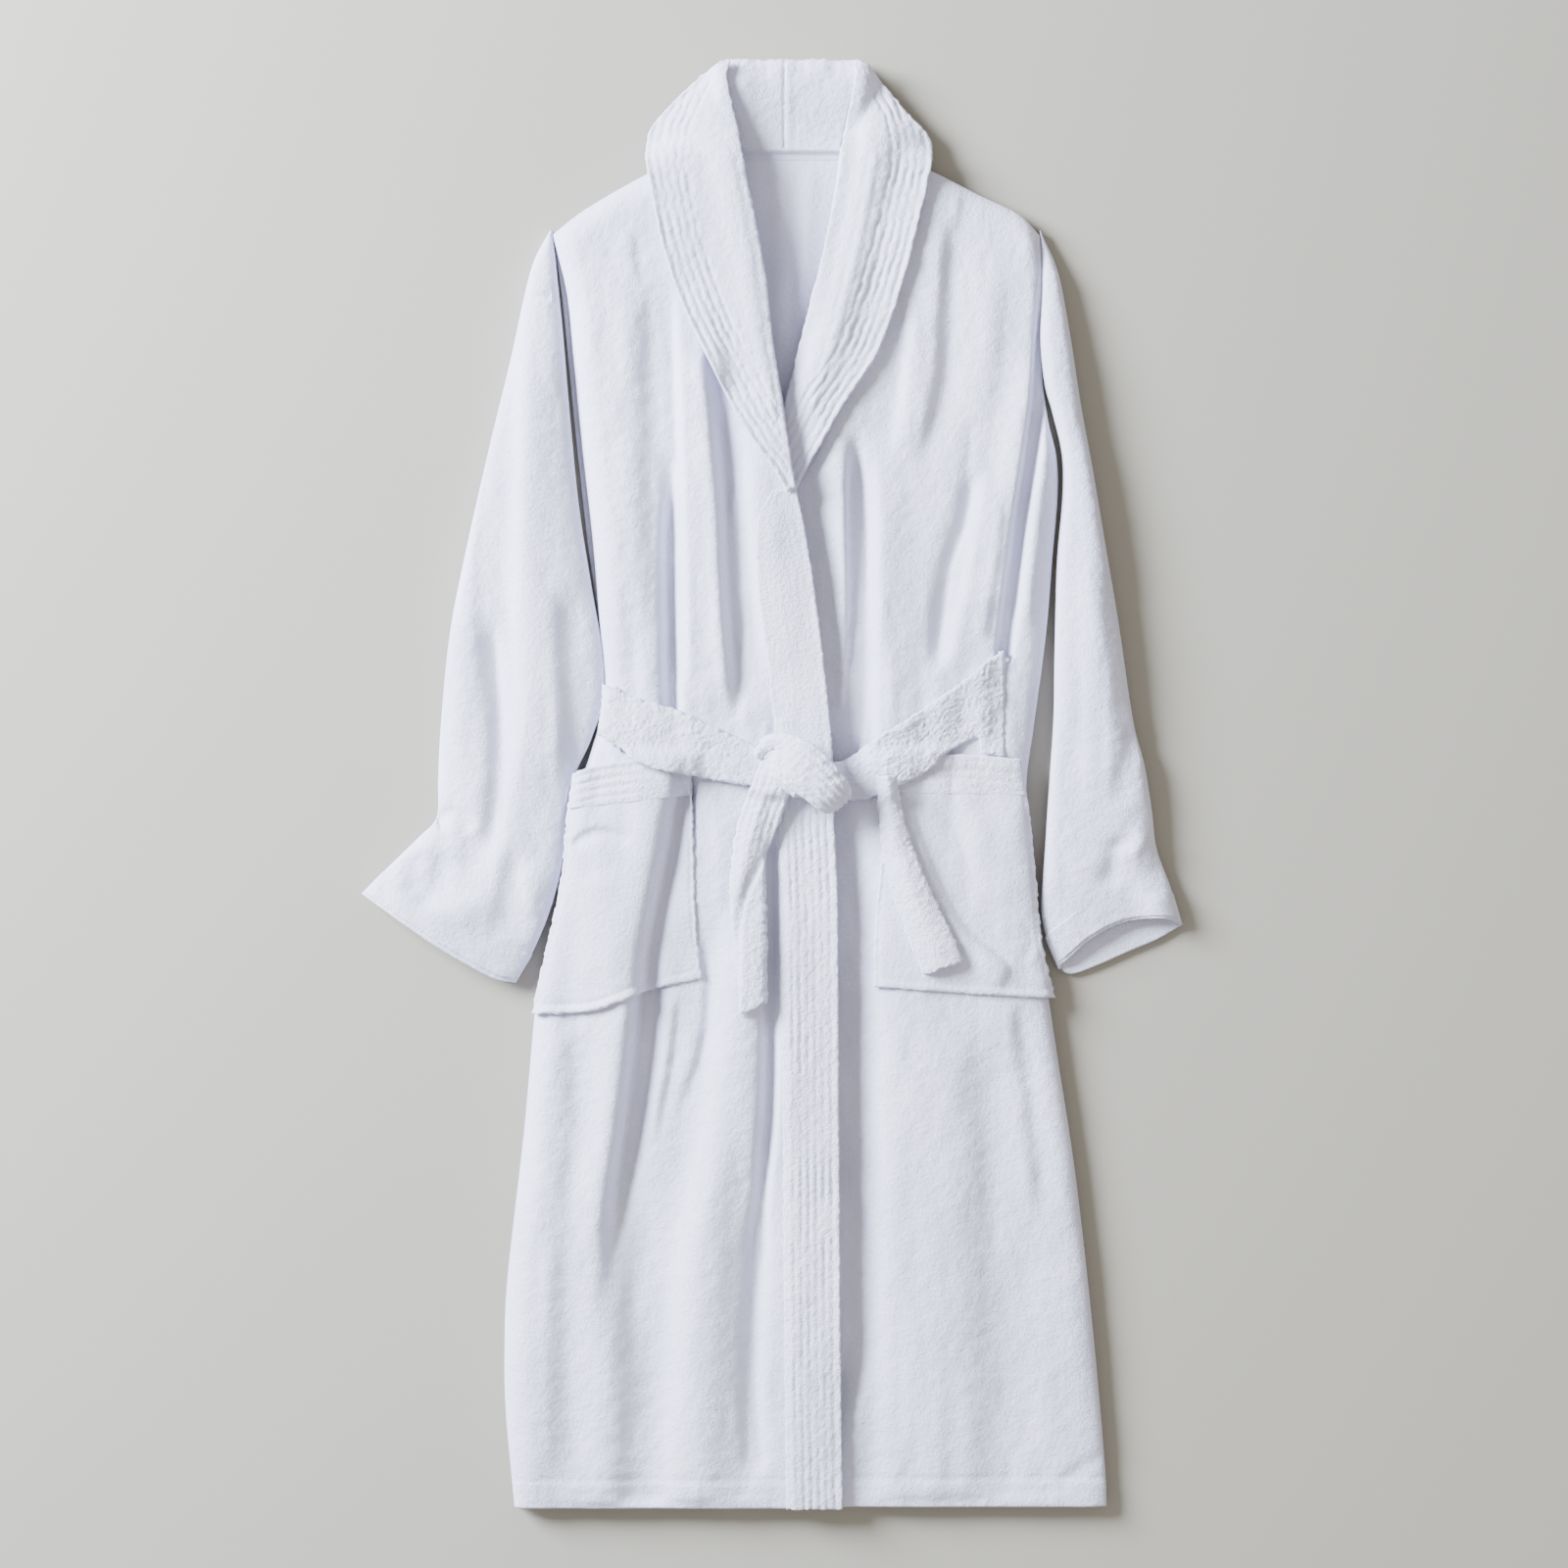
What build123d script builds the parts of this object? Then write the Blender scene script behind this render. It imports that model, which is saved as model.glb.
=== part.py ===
"""Shawl-collar towelling bathrobe, lying on its back with the belt tied.

Frame: millimetres, +Z up out of the front of the robe, +Y towards the collar, +X towards the
wearer's left side. The origin is on the surface that the robe lies on, in the middle of its outline.
"right" and "left" in the names are the wearer's. Each soft piece is a plain closed solid of the
right size and place. Pieces of one body meet face to face, and the sleeves and the belt's two
tails, which move, keep a clear gap.
"""
import os

from build123d import *

# ---------------------------------------------------------------- driving dimensions
CLOTH = 4.0                    # thickness of one layer of towelling
TAPE = 2.0                     # thickness of a hem, a tape or a stitched facing
FACING = 3.0                   # thickness of a collar layer or a front band
BELT_THICK = 5.0               # the belt is sewn double
BELT_BACK_THICK = 3.0          # the belt is pressed flatter under the wearer's back

BACK_TOP = 6.0                 # top of the back panel
LEFT_FRONT_Z = 18.0            # underside of the left front, the lower of the two
RIGHT_FRONT_Z = 28.0           # underside of the right front, which laps over the left one
SLEEVE_HEIGHT = 38.0           # a sleeve lying as a flattened tube
POCKET_DEPTH = 6.0             # room inside a pocket
BELT_Z = 41.0                  # underside of the belt's two front runs
KNOT_Z = 36.0
KNOT_HEIGHT = 30.0
RIGHT_TAIL_Z = 36.3            # lies on the right front
LEFT_TAIL_Z = 33.3             # lies on the left pocket

HEM_Y = -649.0                 # lower edge
NECK_SEAM_Y = 573.0
COLLAR_TOP_Y = 649.0           # the roll of the collar behind the neck
CENTRE_BACK_X = 10.0           # the collar's seam
UNDERARM_Y = 283.0             # lower end of the armholes
HEM_DEPTH = 24.0
BAND_WIDTH = 46.0              # stitched facing on the front edge
CUFF_DEPTH = 30.0
POCKET_BAND_DEPTH = 32.0
BELT_LOOP_WIDTH = 8.0
TAPE_LOOP_WIDTH = 8.0

LEFT_FRONT_TOP = LEFT_FRONT_Z + CLOTH
RIGHT_FRONT_TOP = RIGHT_FRONT_Z + CLOTH

# ---------------------------------------------------------------- seam lines shared by pieces
# Each stretch of an outline is a list of points: two make a straight line, more make a curve.
RIGHT_SHOULDER = [(-60, 570), (-113, 550), (-166, 521), (-199, 495)]
RIGHT_ARMHOLE = [(-199, 495), (-151, 92)]
RIGHT_WAIST = [(-151, 92), (-153, 50), (-178, 0), (-190, -85), (-217, -202)]
RIGHT_SKIRT = [(-217, -202), (-231, -374), (-241, -530), (-232, HEM_Y)]

LEFT_SHOULDER = [(60, 573), (139, 556), (185, 530), (239, 493)]
LEFT_ARMHOLE = [(239, 493), (249, 400), (250, 280), (246, 160)]
LEFT_WAIST = [(246, 160), (246, 40)]
LEFT_HIP = [(246, 40), (236, -60), (234, -100), (250, -199)]
LEFT_SKIRT = [(250, -199), (271, -348), (292, -541), (299, HEM_Y)]

RIGHT_ROLL = [(17, 276), (1, 403), (-12, 487), (-30, NECK_SEAM_Y)]
LEFT_ROLL = [(60, 573), (43, 487), (9, 371), (-30, 240)]
RIGHT_FRONT_EDGE = [(61, HEM_Y), (64, -436), (67, -70), (50, 70), (17, 276)]
LEFT_FRONT_EDGE = [(-30, 240), (-50, 120), (-60, -60), (-60, HEM_Y)]


def outline(*stretches):
    """A flat face bounded by the stretches, each of which starts where the last one ends."""
    edges = []
    for points in stretches:
        edges.append(Line(*points) if len(points) == 2 else Spline(*points))
    return make_face(edges)


def plate(face, z, thickness):
    """The face as a slab with its underside at height z."""
    return Pos(0, 0, z) * extrude(face, amount=thickness, dir=(0, 0, 1))


def block(x0, x1, y0, y1, z0, z1):
    """A plain box between two opposite corners."""
    size = Box(x1 - x0, y1 - y0, z1 - z0, align=(Align.MIN, Align.MIN, Align.MIN))
    return Pos(x0, y0, z0) * size


def rectangle(x0, x1, y0, y1):
    return Pos((x0 + x1) / 2, (y0 + y1) / 2) * Rectangle(x1 - x0, y1 - y0)


def rim(face, dx, dy):
    """The strip of the face along the edges that look towards (-dx, -dy)."""
    return face - Pos(dx, dy) * face


# ---------------------------------------------------------------- body panels
def back_panel_face():
    return outline(
        [(-60, 570), (-30, NECK_SEAM_Y)], [(-30, NECK_SEAM_Y), (60, NECK_SEAM_Y)],
        LEFT_SHOULDER, LEFT_ARMHOLE, LEFT_WAIST, LEFT_HIP, LEFT_SKIRT,
        [(299, HEM_Y), (-232, HEM_Y)],
        RIGHT_SKIRT[::-1], RIGHT_WAIST[::-1], RIGHT_ARMHOLE[::-1], RIGHT_SHOULDER[::-1],
    )


def right_front_face():
    return outline(
        RIGHT_SHOULDER, RIGHT_ARMHOLE, RIGHT_WAIST, RIGHT_SKIRT,
        [(-232, HEM_Y), (61, HEM_Y)],
        RIGHT_FRONT_EDGE, RIGHT_ROLL,
        [(-30, NECK_SEAM_Y), (-60, 570)],
    )


def left_front_face():
    return outline(
        LEFT_SHOULDER, LEFT_ARMHOLE, LEFT_WAIST, LEFT_HIP, LEFT_SKIRT,
        [(299, HEM_Y), (-60, HEM_Y)],
        LEFT_FRONT_EDGE[::-1], LEFT_ROLL[::-1],
    )


BACK_FACE = back_panel_face()
RIGHT_FACE = right_front_face()
LEFT_FACE = left_front_face()

# The belt passes under the back panel, in a shallow channel that it presses into the towelling.
BELT_BACK_Y = (50.0, 96.0)
BELT_BACK_FACE = rectangle(-154, 246, *BELT_BACK_Y) & BACK_FACE


def back_panel():
    return plate(BACK_FACE, 0, BACK_TOP) - plate(BELT_BACK_FACE, 0, BELT_BACK_THICK)


def front_panel(face, underside, dx):
    """A front with its shoulder seam and its side seam carried down to the back panel.

    The strip beside the armhole is left out, so the sleeve opens into the body.
    """
    seam = rim(face, dx, -CLOTH)
    side = -1 if dx > 0 else 1
    edge_x = 199 if side < 0 else 236
    armhole = rectangle(side * edge_x - 60, side * edge_x + 60, UNDERARM_Y, 478)
    wall = plate(seam - armhole, BACK_TOP, underside - BACK_TOP)
    return plate(face, underside, CLOTH) + wall


def hem_strip(face, z):
    """The turned-up hem along the lower edge, on the inside."""
    inside = face & Pos(CLOTH, 0) * face & Pos(-CLOTH, 0) * face
    return plate(inside & rectangle(-320, 320, HEM_Y, HEM_Y + HEM_DEPTH), z, TAPE)


def front_band(face, front_edge_side, z):
    """The stitched facing that follows the front edge from the lapel's foot to the hem."""
    band = rim(face, front_edge_side * BAND_WIDTH, 0)
    band = band & rectangle(-90, 90, HEM_Y, 250)
    return plate(band, z, FACING)


def right_front_band():
    return front_band(RIGHT_FACE, -1, RIGHT_FRONT_TOP)


def left_front_band():
    return front_band(LEFT_FACE, 1, LEFT_FRONT_TOP)


# ---------------------------------------------------------------- shawl collar
RIGHT_LAPEL_EDGE = [
    (17, 276), (-43, 361), (-95, 471), (-113, 558), (-100, 600), (-47, COLLAR_TOP_Y),
]
RIGHT_LAPEL_ROLL = [(-46, 625), (-27, 577), (-4, 438), (17, 276)]
LEFT_LAPEL_EDGE = [
    (12, 276), (71, 366), (128, 493), (144, 563), (125, 612), (80, COLLAR_TOP_Y),
]
LEFT_LAPEL_ROLL = [(73, 625), (60, 573), (43, 487), (9, 371)]
LAPEL_TOP_Y = 625.0


def right_lapel_face():
    lapel = outline(
        RIGHT_LAPEL_EDGE,
        [(-47, COLLAR_TOP_Y), (CENTRE_BACK_X, COLLAR_TOP_Y)],
        [(CENTRE_BACK_X, COLLAR_TOP_Y), (CENTRE_BACK_X, LAPEL_TOP_Y)],
        [(CENTRE_BACK_X, LAPEL_TOP_Y), (-46, LAPEL_TOP_Y)],
        RIGHT_LAPEL_ROLL,
    )
    return lapel


def left_lapel_face():
    """The left lapel as far as it shows: below that it runs on under the right front."""
    lapel = outline(
        LEFT_LAPEL_EDGE,
        [(80, COLLAR_TOP_Y), (CENTRE_BACK_X, COLLAR_TOP_Y)],
        [(CENTRE_BACK_X, COLLAR_TOP_Y), (CENTRE_BACK_X, LAPEL_TOP_Y)],
        [(CENTRE_BACK_X, LAPEL_TOP_Y), (73, LAPEL_TOP_Y)],
        LEFT_LAPEL_ROLL,
        [(9, 371), (12, 276)],
    )
    return lapel


RIGHT_LAPEL = right_lapel_face()
LEFT_LAPEL = left_lapel_face()
COLLAR_WALL = 5.0


def collar_back(x0, x1, top):
    """Under collar behind the neck: the fall lies on the floor and turns up at the roll."""
    fall = block(x0, x1, 577, COLLAR_TOP_Y, 0, CLOTH)
    roll = block(x0, x1, COLLAR_TOP_Y - COLLAR_WALL, COLLAR_TOP_Y, CLOTH, top)
    return fall + roll


def right_under_collar():
    back = collar_back(-46, CENTRE_BACK_X, RIGHT_FRONT_TOP)
    return plate(RIGHT_LAPEL, RIGHT_FRONT_TOP, FACING) + back


def right_upper_collar():
    return plate(RIGHT_LAPEL, RIGHT_FRONT_TOP + FACING, FACING)


def left_under_collar():
    back = collar_back(CENTRE_BACK_X, 80, LEFT_FRONT_TOP)
    return plate(LEFT_LAPEL, LEFT_FRONT_TOP, 2 * FACING) + back


def left_upper_collar():
    """Lies outside the right front's outline, which it passes under."""
    return plate(LEFT_LAPEL - RIGHT_FACE - RIGHT_LAPEL, RIGHT_FRONT_Z, 2 * FACING)


def collar_stand():
    """The sloping stand that joins the neck seam to the underside of the collar."""
    x0, x1 = -26, 58
    profile = make_face(Polyline(
        (NECK_SEAM_Y, 0), (NECK_SEAM_Y + CLOTH, 0), (610, LEFT_FRONT_TOP - CLOTH),
        (602, LEFT_FRONT_TOP - CLOTH), close=True,
    ))
    slab = extrude(Plane.YZ * profile, amount=x1 - x0)
    return Pos(x0, 0, CLOTH) * slab


def neck_tape():
    return block(-24, 56, NECK_SEAM_Y - 10, NECK_SEAM_Y - 1, BACK_TOP, BACK_TOP + TAPE)


def hanger_loop():
    """A loop of narrow tape sewn to the outside of the neck seam, under the collar's fall."""
    half_width, length, z = 24, 34, 5.0
    base = 582.5
    tape = block(CENTRE_BACK_X - half_width, CENTRE_BACK_X + half_width, base, base + length, z, z + TAPE)
    gap = block(
        CENTRE_BACK_X - half_width + TAPE_LOOP_WIDTH, CENTRE_BACK_X + half_width - TAPE_LOOP_WIDTH,
        base + TAPE_LOOP_WIDTH, base + length - TAPE_LOOP_WIDTH, z - 1, z + TAPE + 1,
    )
    return tape - gap


# ---------------------------------------------------------------- sleeves
def right_sleeve_face():
    return outline(
        [(-200, 494), (-223, 440), (-253, 309), (-290, 134), (-302, -7)],
        [(-302, -7), (-308, -38), (-345, -72), (-369, -96)],
        [(-369, -96), (-297, -147), (-232, -176)],
        [(-232, -176), (-203, -120), (-192, -40), (-162, 48)],
        [(-162, 48), (-160, 96)],
        [(-160, 96), (-155, 112)],
        [(-155, 112), (-200, 494)],
    )


def left_sleeve_face():
    return outline(
        [(242.5, 491), (264, 436), (275, 344), (298, 212), (322, 55)],
        [(322, 55), (332, 10), (344, -54), (369, -120)],
        [(369, -120), (350, -138), (309, -153), (257, -164)],
        [(257, -164), (240, -110), (243, -50), (253, 30)],
        [(253, 30), (253, 160)],
        [(253, 160), (255, 280), (253.5, 400), (242.5, 491)],
    )


RIGHT_CUFF_ENDS = [(-369, -96), (-232, -176)]      # outer end, then inner end
LEFT_CUFF_ENDS = [(369, -120), (257, -164)]


def cuff_directions(ends):
    """Unit vectors along the cuff, from its outer to its inner end, and out of its mouth."""
    across = (Vector(*ends[1]) - Vector(*ends[0])).normalized()
    out = Vector(across.Y, -across.X) if across.X > 0 else Vector(-across.Y, across.X)
    return across, out


def cuff_zone(ends):
    """A wide block over the cuff, as deep as its hem."""
    across, out = cuff_directions(ends)
    spare = 60
    a = Vector(*ends[0]) - across * spare - out * CUFF_DEPTH
    b = Vector(*ends[1]) + across * spare - out * CUFF_DEPTH
    low = out * (CUFF_DEPTH + spare)
    zone = make_face(Polyline(a, b, b + low, a + low, close=True))
    return plate(zone, -1, SLEEVE_HEIGHT + 2)


def sleeve_tube(face, outward, ends):
    """A flattened tube, open at the cuff and along the armhole."""
    shoulder = rectangle(-400, 400, UNDERARM_Y, 520)
    hollow = face & Pos(-outward * CLOTH, 0) * face
    hollow = hollow & (Pos(outward * CLOTH, 0) * face + shoulder)
    past_mouth = cuff_directions(ends)[1] * (2 * CLOTH)
    hollow = hollow + Pos(past_mouth.X, past_mouth.Y) * hollow
    return plate(face, 0, SLEEVE_HEIGHT) - plate(hollow, CLOTH, SLEEVE_HEIGHT - 2 * CLOTH)


RIGHT_TUBE = sleeve_tube(right_sleeve_face(), -1, RIGHT_CUFF_ENDS)
LEFT_TUBE = sleeve_tube(left_sleeve_face(), 1, LEFT_CUFF_ENDS)
RIGHT_CUFF_ZONE = cuff_zone(RIGHT_CUFF_ENDS)
LEFT_CUFF_ZONE = cuff_zone(LEFT_CUFF_ENDS)


# ---------------------------------------------------------------- pockets
def right_pocket_face():
    return outline(
        [(-181, 12), (-75, 9)],
        [(-75, 9), (-68, -170)],
        [(-68, -170), (-120, -184), (-214, -202)],
        [(-214, -202), (-189, -85), (-181, 12)],
    )


def left_pocket_face():
    return outline(
        [(104, 26), (222, 24)],
        [(222, 24), (228, -70), (247, -192)],
        [(247, -192), (90, -180)],
        [(90, -180), (93, -90), (104, 26)],
    )


def pocket(face, z):
    """A patch sewn down on three sides, with room for a hand and its mouth at the top."""
    inside = face & Pos(CLOTH, 0) * face & Pos(-CLOTH, 0) * face
    inside = inside & Pos(0, CLOTH) * face
    inside = inside + Pos(0, CLOTH) * inside
    walls = plate(face - inside, z, POCKET_DEPTH)
    return walls + plate(face, z + POCKET_DEPTH, FACING)


def pocket_band(face, z):
    """The stitched band along the pocket's mouth."""
    band = face - Pos(0, -POCKET_BAND_DEPTH) * face
    band = band & rectangle(-300, 300, -40, 40)
    return plate(band, z + POCKET_DEPTH + FACING, TAPE)


# ---------------------------------------------------------------- belt
def belt_right_front_face():
    return outline(
        [(-158, 96), (-117, 78), (-60, 58), (-9, 38)],
        [(-9, 38), (-9, -2)],
        [(-9, -2), (-49, 6), (-110, 20), (-158, 50)],
        [(-158, 50), (-158, 96)],
    )


def belt_left_front_face():
    return outline(
        [(68, 26), (116, 60), (180, 88), (250, 96)],
        [(250, 96), (250, 50)],
        [(250, 50), (180, 34), (116, 2), (68, -14)],
        [(68, -14), (68, 26)],
    )


def belt_front(face, x_outer, x_inner):
    """One front run of the belt, with the turn that it makes down the side of the robe."""
    y0, y1 = BELT_BACK_Y
    side = rectangle(min(x_outer, x_inner), max(x_outer, x_inner), y0, y1)
    return plate(face, BELT_Z, BELT_THICK) + plate(side, 0, BELT_Z)


def belt_knot():
    """A half knot drawn tight: a slanting lump, narrower at the top."""
    face = outline(
        [(-9, 38), (-9, -2)],
        [(-9, -2), (35, -18), (60, -18), (68, 0)],
        [(68, 0), (56, 30), (30, 42), (-9, 38)],
    )
    return Pos(0, 0, KNOT_Z) * extrude(face, amount=KNOT_HEIGHT, taper=14)


def right_tail_face():
    return outline(
        [(-26, -23), (21, -23)],
        [(21, -23), (0, -60), (-6, -130), (-5, -192)],
        [(-5, -192), (-29, -202)],
        [(-29, -202), (-36, -120), (-26, -23)],
    )


def left_tail_face():
    return outline(
        [(90, -16), (112, -16)],
        [(112, -16), (130, -75), (168, -150)],
        [(168, -150), (152, -166), (119, -173)],
        [(119, -173), (100, -100), (90, -16)],
    )


def belt_loop(x0, z_foot, y0, y1):
    """A thread-covered loop: a strip over the belt with a leg at each end."""
    x1 = x0 + BELT_LOOP_WIDTH
    top = BELT_Z + BELT_THICK
    strip = block(x0, x1, y0, y1, top, top + TAPE)
    lower_leg = block(x0, x1, y0, y0 + TAPE, z_foot, top)
    upper_leg = block(x0, x1, y1 - TAPE, y1, z_foot, top)
    return strip + lower_leg + upper_leg


# ---------------------------------------------------------------- build
def build():
    nodes = {
        "back_panel": back_panel(),
        "right_front_panel": front_panel(RIGHT_FACE, RIGHT_FRONT_Z, FACING),
        "left_front_panel": front_panel(LEFT_FACE, LEFT_FRONT_Z, -FACING),
        "right_front_band": right_front_band(),
        "left_front_band": left_front_band(),
        "back_hem": hem_strip(BACK_FACE, BACK_TOP),
        "right_front_hem": hem_strip(RIGHT_FACE, RIGHT_FRONT_Z - TAPE),
        "left_front_hem": hem_strip(LEFT_FACE, LEFT_FRONT_Z - TAPE),
        "right_under_collar": right_under_collar(),
        "right_upper_collar": right_upper_collar(),
        "left_under_collar": left_under_collar(),
        "left_upper_collar": left_upper_collar(),
        "collar_stand": collar_stand(),
        "neck_tape": neck_tape(),
        "hanger_loop": hanger_loop(),
        "right_sleeve": RIGHT_TUBE - RIGHT_CUFF_ZONE,
        "right_cuff_hem": RIGHT_TUBE & RIGHT_CUFF_ZONE,
        "left_sleeve": LEFT_TUBE - LEFT_CUFF_ZONE,
        "left_cuff_hem": LEFT_TUBE & LEFT_CUFF_ZONE,
        "right_pocket": pocket(right_pocket_face(), RIGHT_FRONT_TOP),
        "left_pocket": pocket(left_pocket_face(), LEFT_FRONT_TOP),
        "right_pocket_band": pocket_band(right_pocket_face(), RIGHT_FRONT_TOP),
        "left_pocket_band": pocket_band(left_pocket_face(), LEFT_FRONT_TOP),
        "belt_back": plate(BELT_BACK_FACE, 0, BELT_BACK_THICK),
        "belt_right_front": belt_front(belt_right_front_face(), -158, -154.2),
        "belt_left_front": belt_front(belt_left_front_face(), 250, 246.2),
        "belt_knot": belt_knot(),
        "belt_right_tail": plate(right_tail_face(), RIGHT_TAIL_Z, BELT_THICK),
        "belt_left_tail": plate(left_tail_face(), LEFT_TAIL_Z, BELT_THICK),
        "right_belt_loop": belt_loop(-142, RIGHT_FRONT_TOP, 26, 94),
        "left_belt_loop": belt_loop(208, LEFT_FRONT_TOP, 34, 100),
    }
    os.makedirs("parts", exist_ok=True)
    for name, solid in nodes.items():
        export_step(solid, f"parts/{name}.step")


build()
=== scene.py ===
"""White towelling bathrobe lying on its back: cloth pieces laid one on another over the frame.

Lengths below are in millimetres in the frame's own axes and are turned into metres when a mesh is
made. "right" and "left" are the wearer's, so the right side is at negative x.
"""

import bpy
import numpy as np
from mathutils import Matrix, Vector


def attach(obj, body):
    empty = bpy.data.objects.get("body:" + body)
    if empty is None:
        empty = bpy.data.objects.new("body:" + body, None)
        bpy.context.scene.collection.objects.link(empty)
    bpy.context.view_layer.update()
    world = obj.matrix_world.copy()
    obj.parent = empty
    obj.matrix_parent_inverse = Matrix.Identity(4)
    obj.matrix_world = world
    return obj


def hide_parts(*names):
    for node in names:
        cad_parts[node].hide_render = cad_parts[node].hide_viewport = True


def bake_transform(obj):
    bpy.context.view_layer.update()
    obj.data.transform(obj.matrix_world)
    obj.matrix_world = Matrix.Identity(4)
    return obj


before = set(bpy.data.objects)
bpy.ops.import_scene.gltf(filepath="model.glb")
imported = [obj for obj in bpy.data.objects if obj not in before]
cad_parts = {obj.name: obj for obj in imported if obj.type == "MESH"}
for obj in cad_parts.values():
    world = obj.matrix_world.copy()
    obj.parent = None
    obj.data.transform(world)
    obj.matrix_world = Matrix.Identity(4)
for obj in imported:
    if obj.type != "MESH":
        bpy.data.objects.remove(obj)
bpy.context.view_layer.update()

MM = 0.001
RAISE_STEP = 2.5            # cell of the height map that the layers are laid on
RIM_STEP = 2.2              # about how far from its edges a grid is finer, for its rounded rim

# ---------------- camera
VIEW_WIDTH = 1.4016         # metres seen across the robe
VIEW_HEIGHT = 3.42          # metres above the floor
VIEW_DISTANCE = 3.4         # metres above the cloth
VIEW_CENTRE = (0.0096, 0.0022)
SENSOR_WIDTH = 36.0


def make_camera():
    data = bpy.data.cameras.new("camera")
    data.sensor_width = SENSOR_WIDTH
    data.lens = SENSOR_WIDTH * VIEW_DISTANCE / VIEW_WIDTH
    camera = bpy.data.objects.new("camera", data)
    camera.location = VIEW_CENTRE + (VIEW_HEIGHT,)
    bpy.context.scene.collection.objects.link(camera)
    bpy.context.scene.camera = camera


make_camera()


# ---------------- noise and curves
TABLE_SIZE = 128            # cells each way in a table of random values
LATTICES = [np.random.RandomState(seed).rand(TABLE_SIZE, TABLE_SIZE) * 2 - 1 for seed in range(12)]


def noise(x, y, scale, seed=0):
    """Smooth random values from -1 to 1, with lumps about as wide as scale."""
    table = LATTICES[seed % len(LATTICES)]
    gx = x / scale + 17.3 * seed
    gy = y / scale + 9.1 * seed
    ix = np.floor(gx).astype(int)
    iy = np.floor(gy).astype(int)
    fx = gx - ix
    fy = gy - iy
    fx = fx * fx * fx * (fx * (fx * 6 - 15) + 10)
    fy = fy * fy * fy * (fy * (fy * 6 - 15) + 10)
    right, up = (ix + 1) % TABLE_SIZE, (iy + 1) % TABLE_SIZE
    ix, iy = ix % TABLE_SIZE, iy % TABLE_SIZE
    a, b = table[iy, ix], table[iy, right]
    c, d = table[up, ix], table[up, right]
    return (a + (b - a) * fx) * (1 - fy) + (c + (d - c) * fx) * fy


def curve(points, count):
    """A smooth line through the points, as count places evenly spaced along it."""
    p = np.array(points, float)
    if len(p) == 2:
        t = np.linspace(0, 1, count)[:, None]
        return p[0] * (1 - t) + p[1] * t
    p = np.vstack([2 * p[0] - p[1], p, 2 * p[-1] - p[-2]])
    fine = []
    t = np.linspace(0, 1, 16, endpoint=False)[:, None]
    for a, b, c, d in zip(p[:-3], p[1:-2], p[2:-1], p[3:]):
        fine.append(0.5 * (2 * b + (c - a) * t + (2 * a - 5 * b + 4 * c - d) * t ** 2
                           + (3 * b - a - 3 * c + d) * t ** 3))
    fine = np.vstack(fine + [p[-2][None]])
    return resample(fine, np.linspace(0, 1, count))


def resample(line, shares):
    """Places at the given shares of a polyline's length."""
    steps = np.linalg.norm(np.diff(line, axis=0), axis=1)
    length = np.concatenate([[0], np.cumsum(steps)])
    want = np.asarray(shares) * length[-1]
    return np.stack([np.interp(want, length, line[:, k]) for k in range(line.shape[1])], 1)


def line_length(line):
    return float(np.linalg.norm(np.diff(line, axis=0), axis=1).sum())


def smooth(t):
    t = np.clip(t, 0, 1)
    return t * t * (3 - 2 * t)


def shares_for(length, step):
    """Shares of a length, about step apart, and closer together at both ends for the rounded rim."""
    near = np.array([0, 0.12, 0.35, 0.7, 1.2]) * RIM_STEP
    count = max(2, int(round((length - 2 * near[-1]) / step)))
    middle = np.linspace(near[-1], length - near[-1], count + 1)
    return np.concatenate([near[:-1], middle, length - near[:-1][::-1]]) / length


# ---------------- height map of what lies below
X0, X1, Y0, Y1 = -400.0, 400.0, -690.0, 690.0
NX = int((X1 - X0) / RAISE_STEP) + 1
NY = int((Y1 - Y0) / RAISE_STEP) + 1


def blur(values, sigma):
    """Gaussian blur of a map, sigma in millimetres."""
    reach = max(1, int(round(3 * sigma / RAISE_STEP)))
    k = np.exp(-0.5 * (np.arange(-reach, reach + 1) * RAISE_STEP / sigma) ** 2)
    k /= k.sum()
    for _ in range(2):
        padded = np.pad(values, ((reach, reach), (0, 0)), mode="edge")
        values = sum(w * padded[i:i + values.shape[0]] for i, w in enumerate(k)).T
    return values


def spread(values, reach_mm):
    """Each cell takes the highest value within reach."""
    for _ in range(2):
        out = values.copy()
        for i in range(1, int(round(reach_mm / RAISE_STEP)) + 1):
            out[i:] = np.maximum(out[i:], values[:-i])
            out[:-i] = np.maximum(out[:-i], values[i:])
        values = out.T
    return values


def sample(values, x, y):
    """The map's value at places between its cells."""
    gx = np.clip((x - X0) / RAISE_STEP, 0, NX - 1.001)
    gy = np.clip((y - Y0) / RAISE_STEP, 0, NY - 1.001)
    ix = gx.astype(int)
    iy = gy.astype(int)
    fx = gx - ix
    fy = gy - iy
    low = values[iy, ix] * (1 - fx) + values[iy, ix + 1] * fx
    high = values[iy + 1, ix] * (1 - fx) + values[iy + 1, ix + 1] * fx
    return low * (1 - fy) + high * fy


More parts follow.
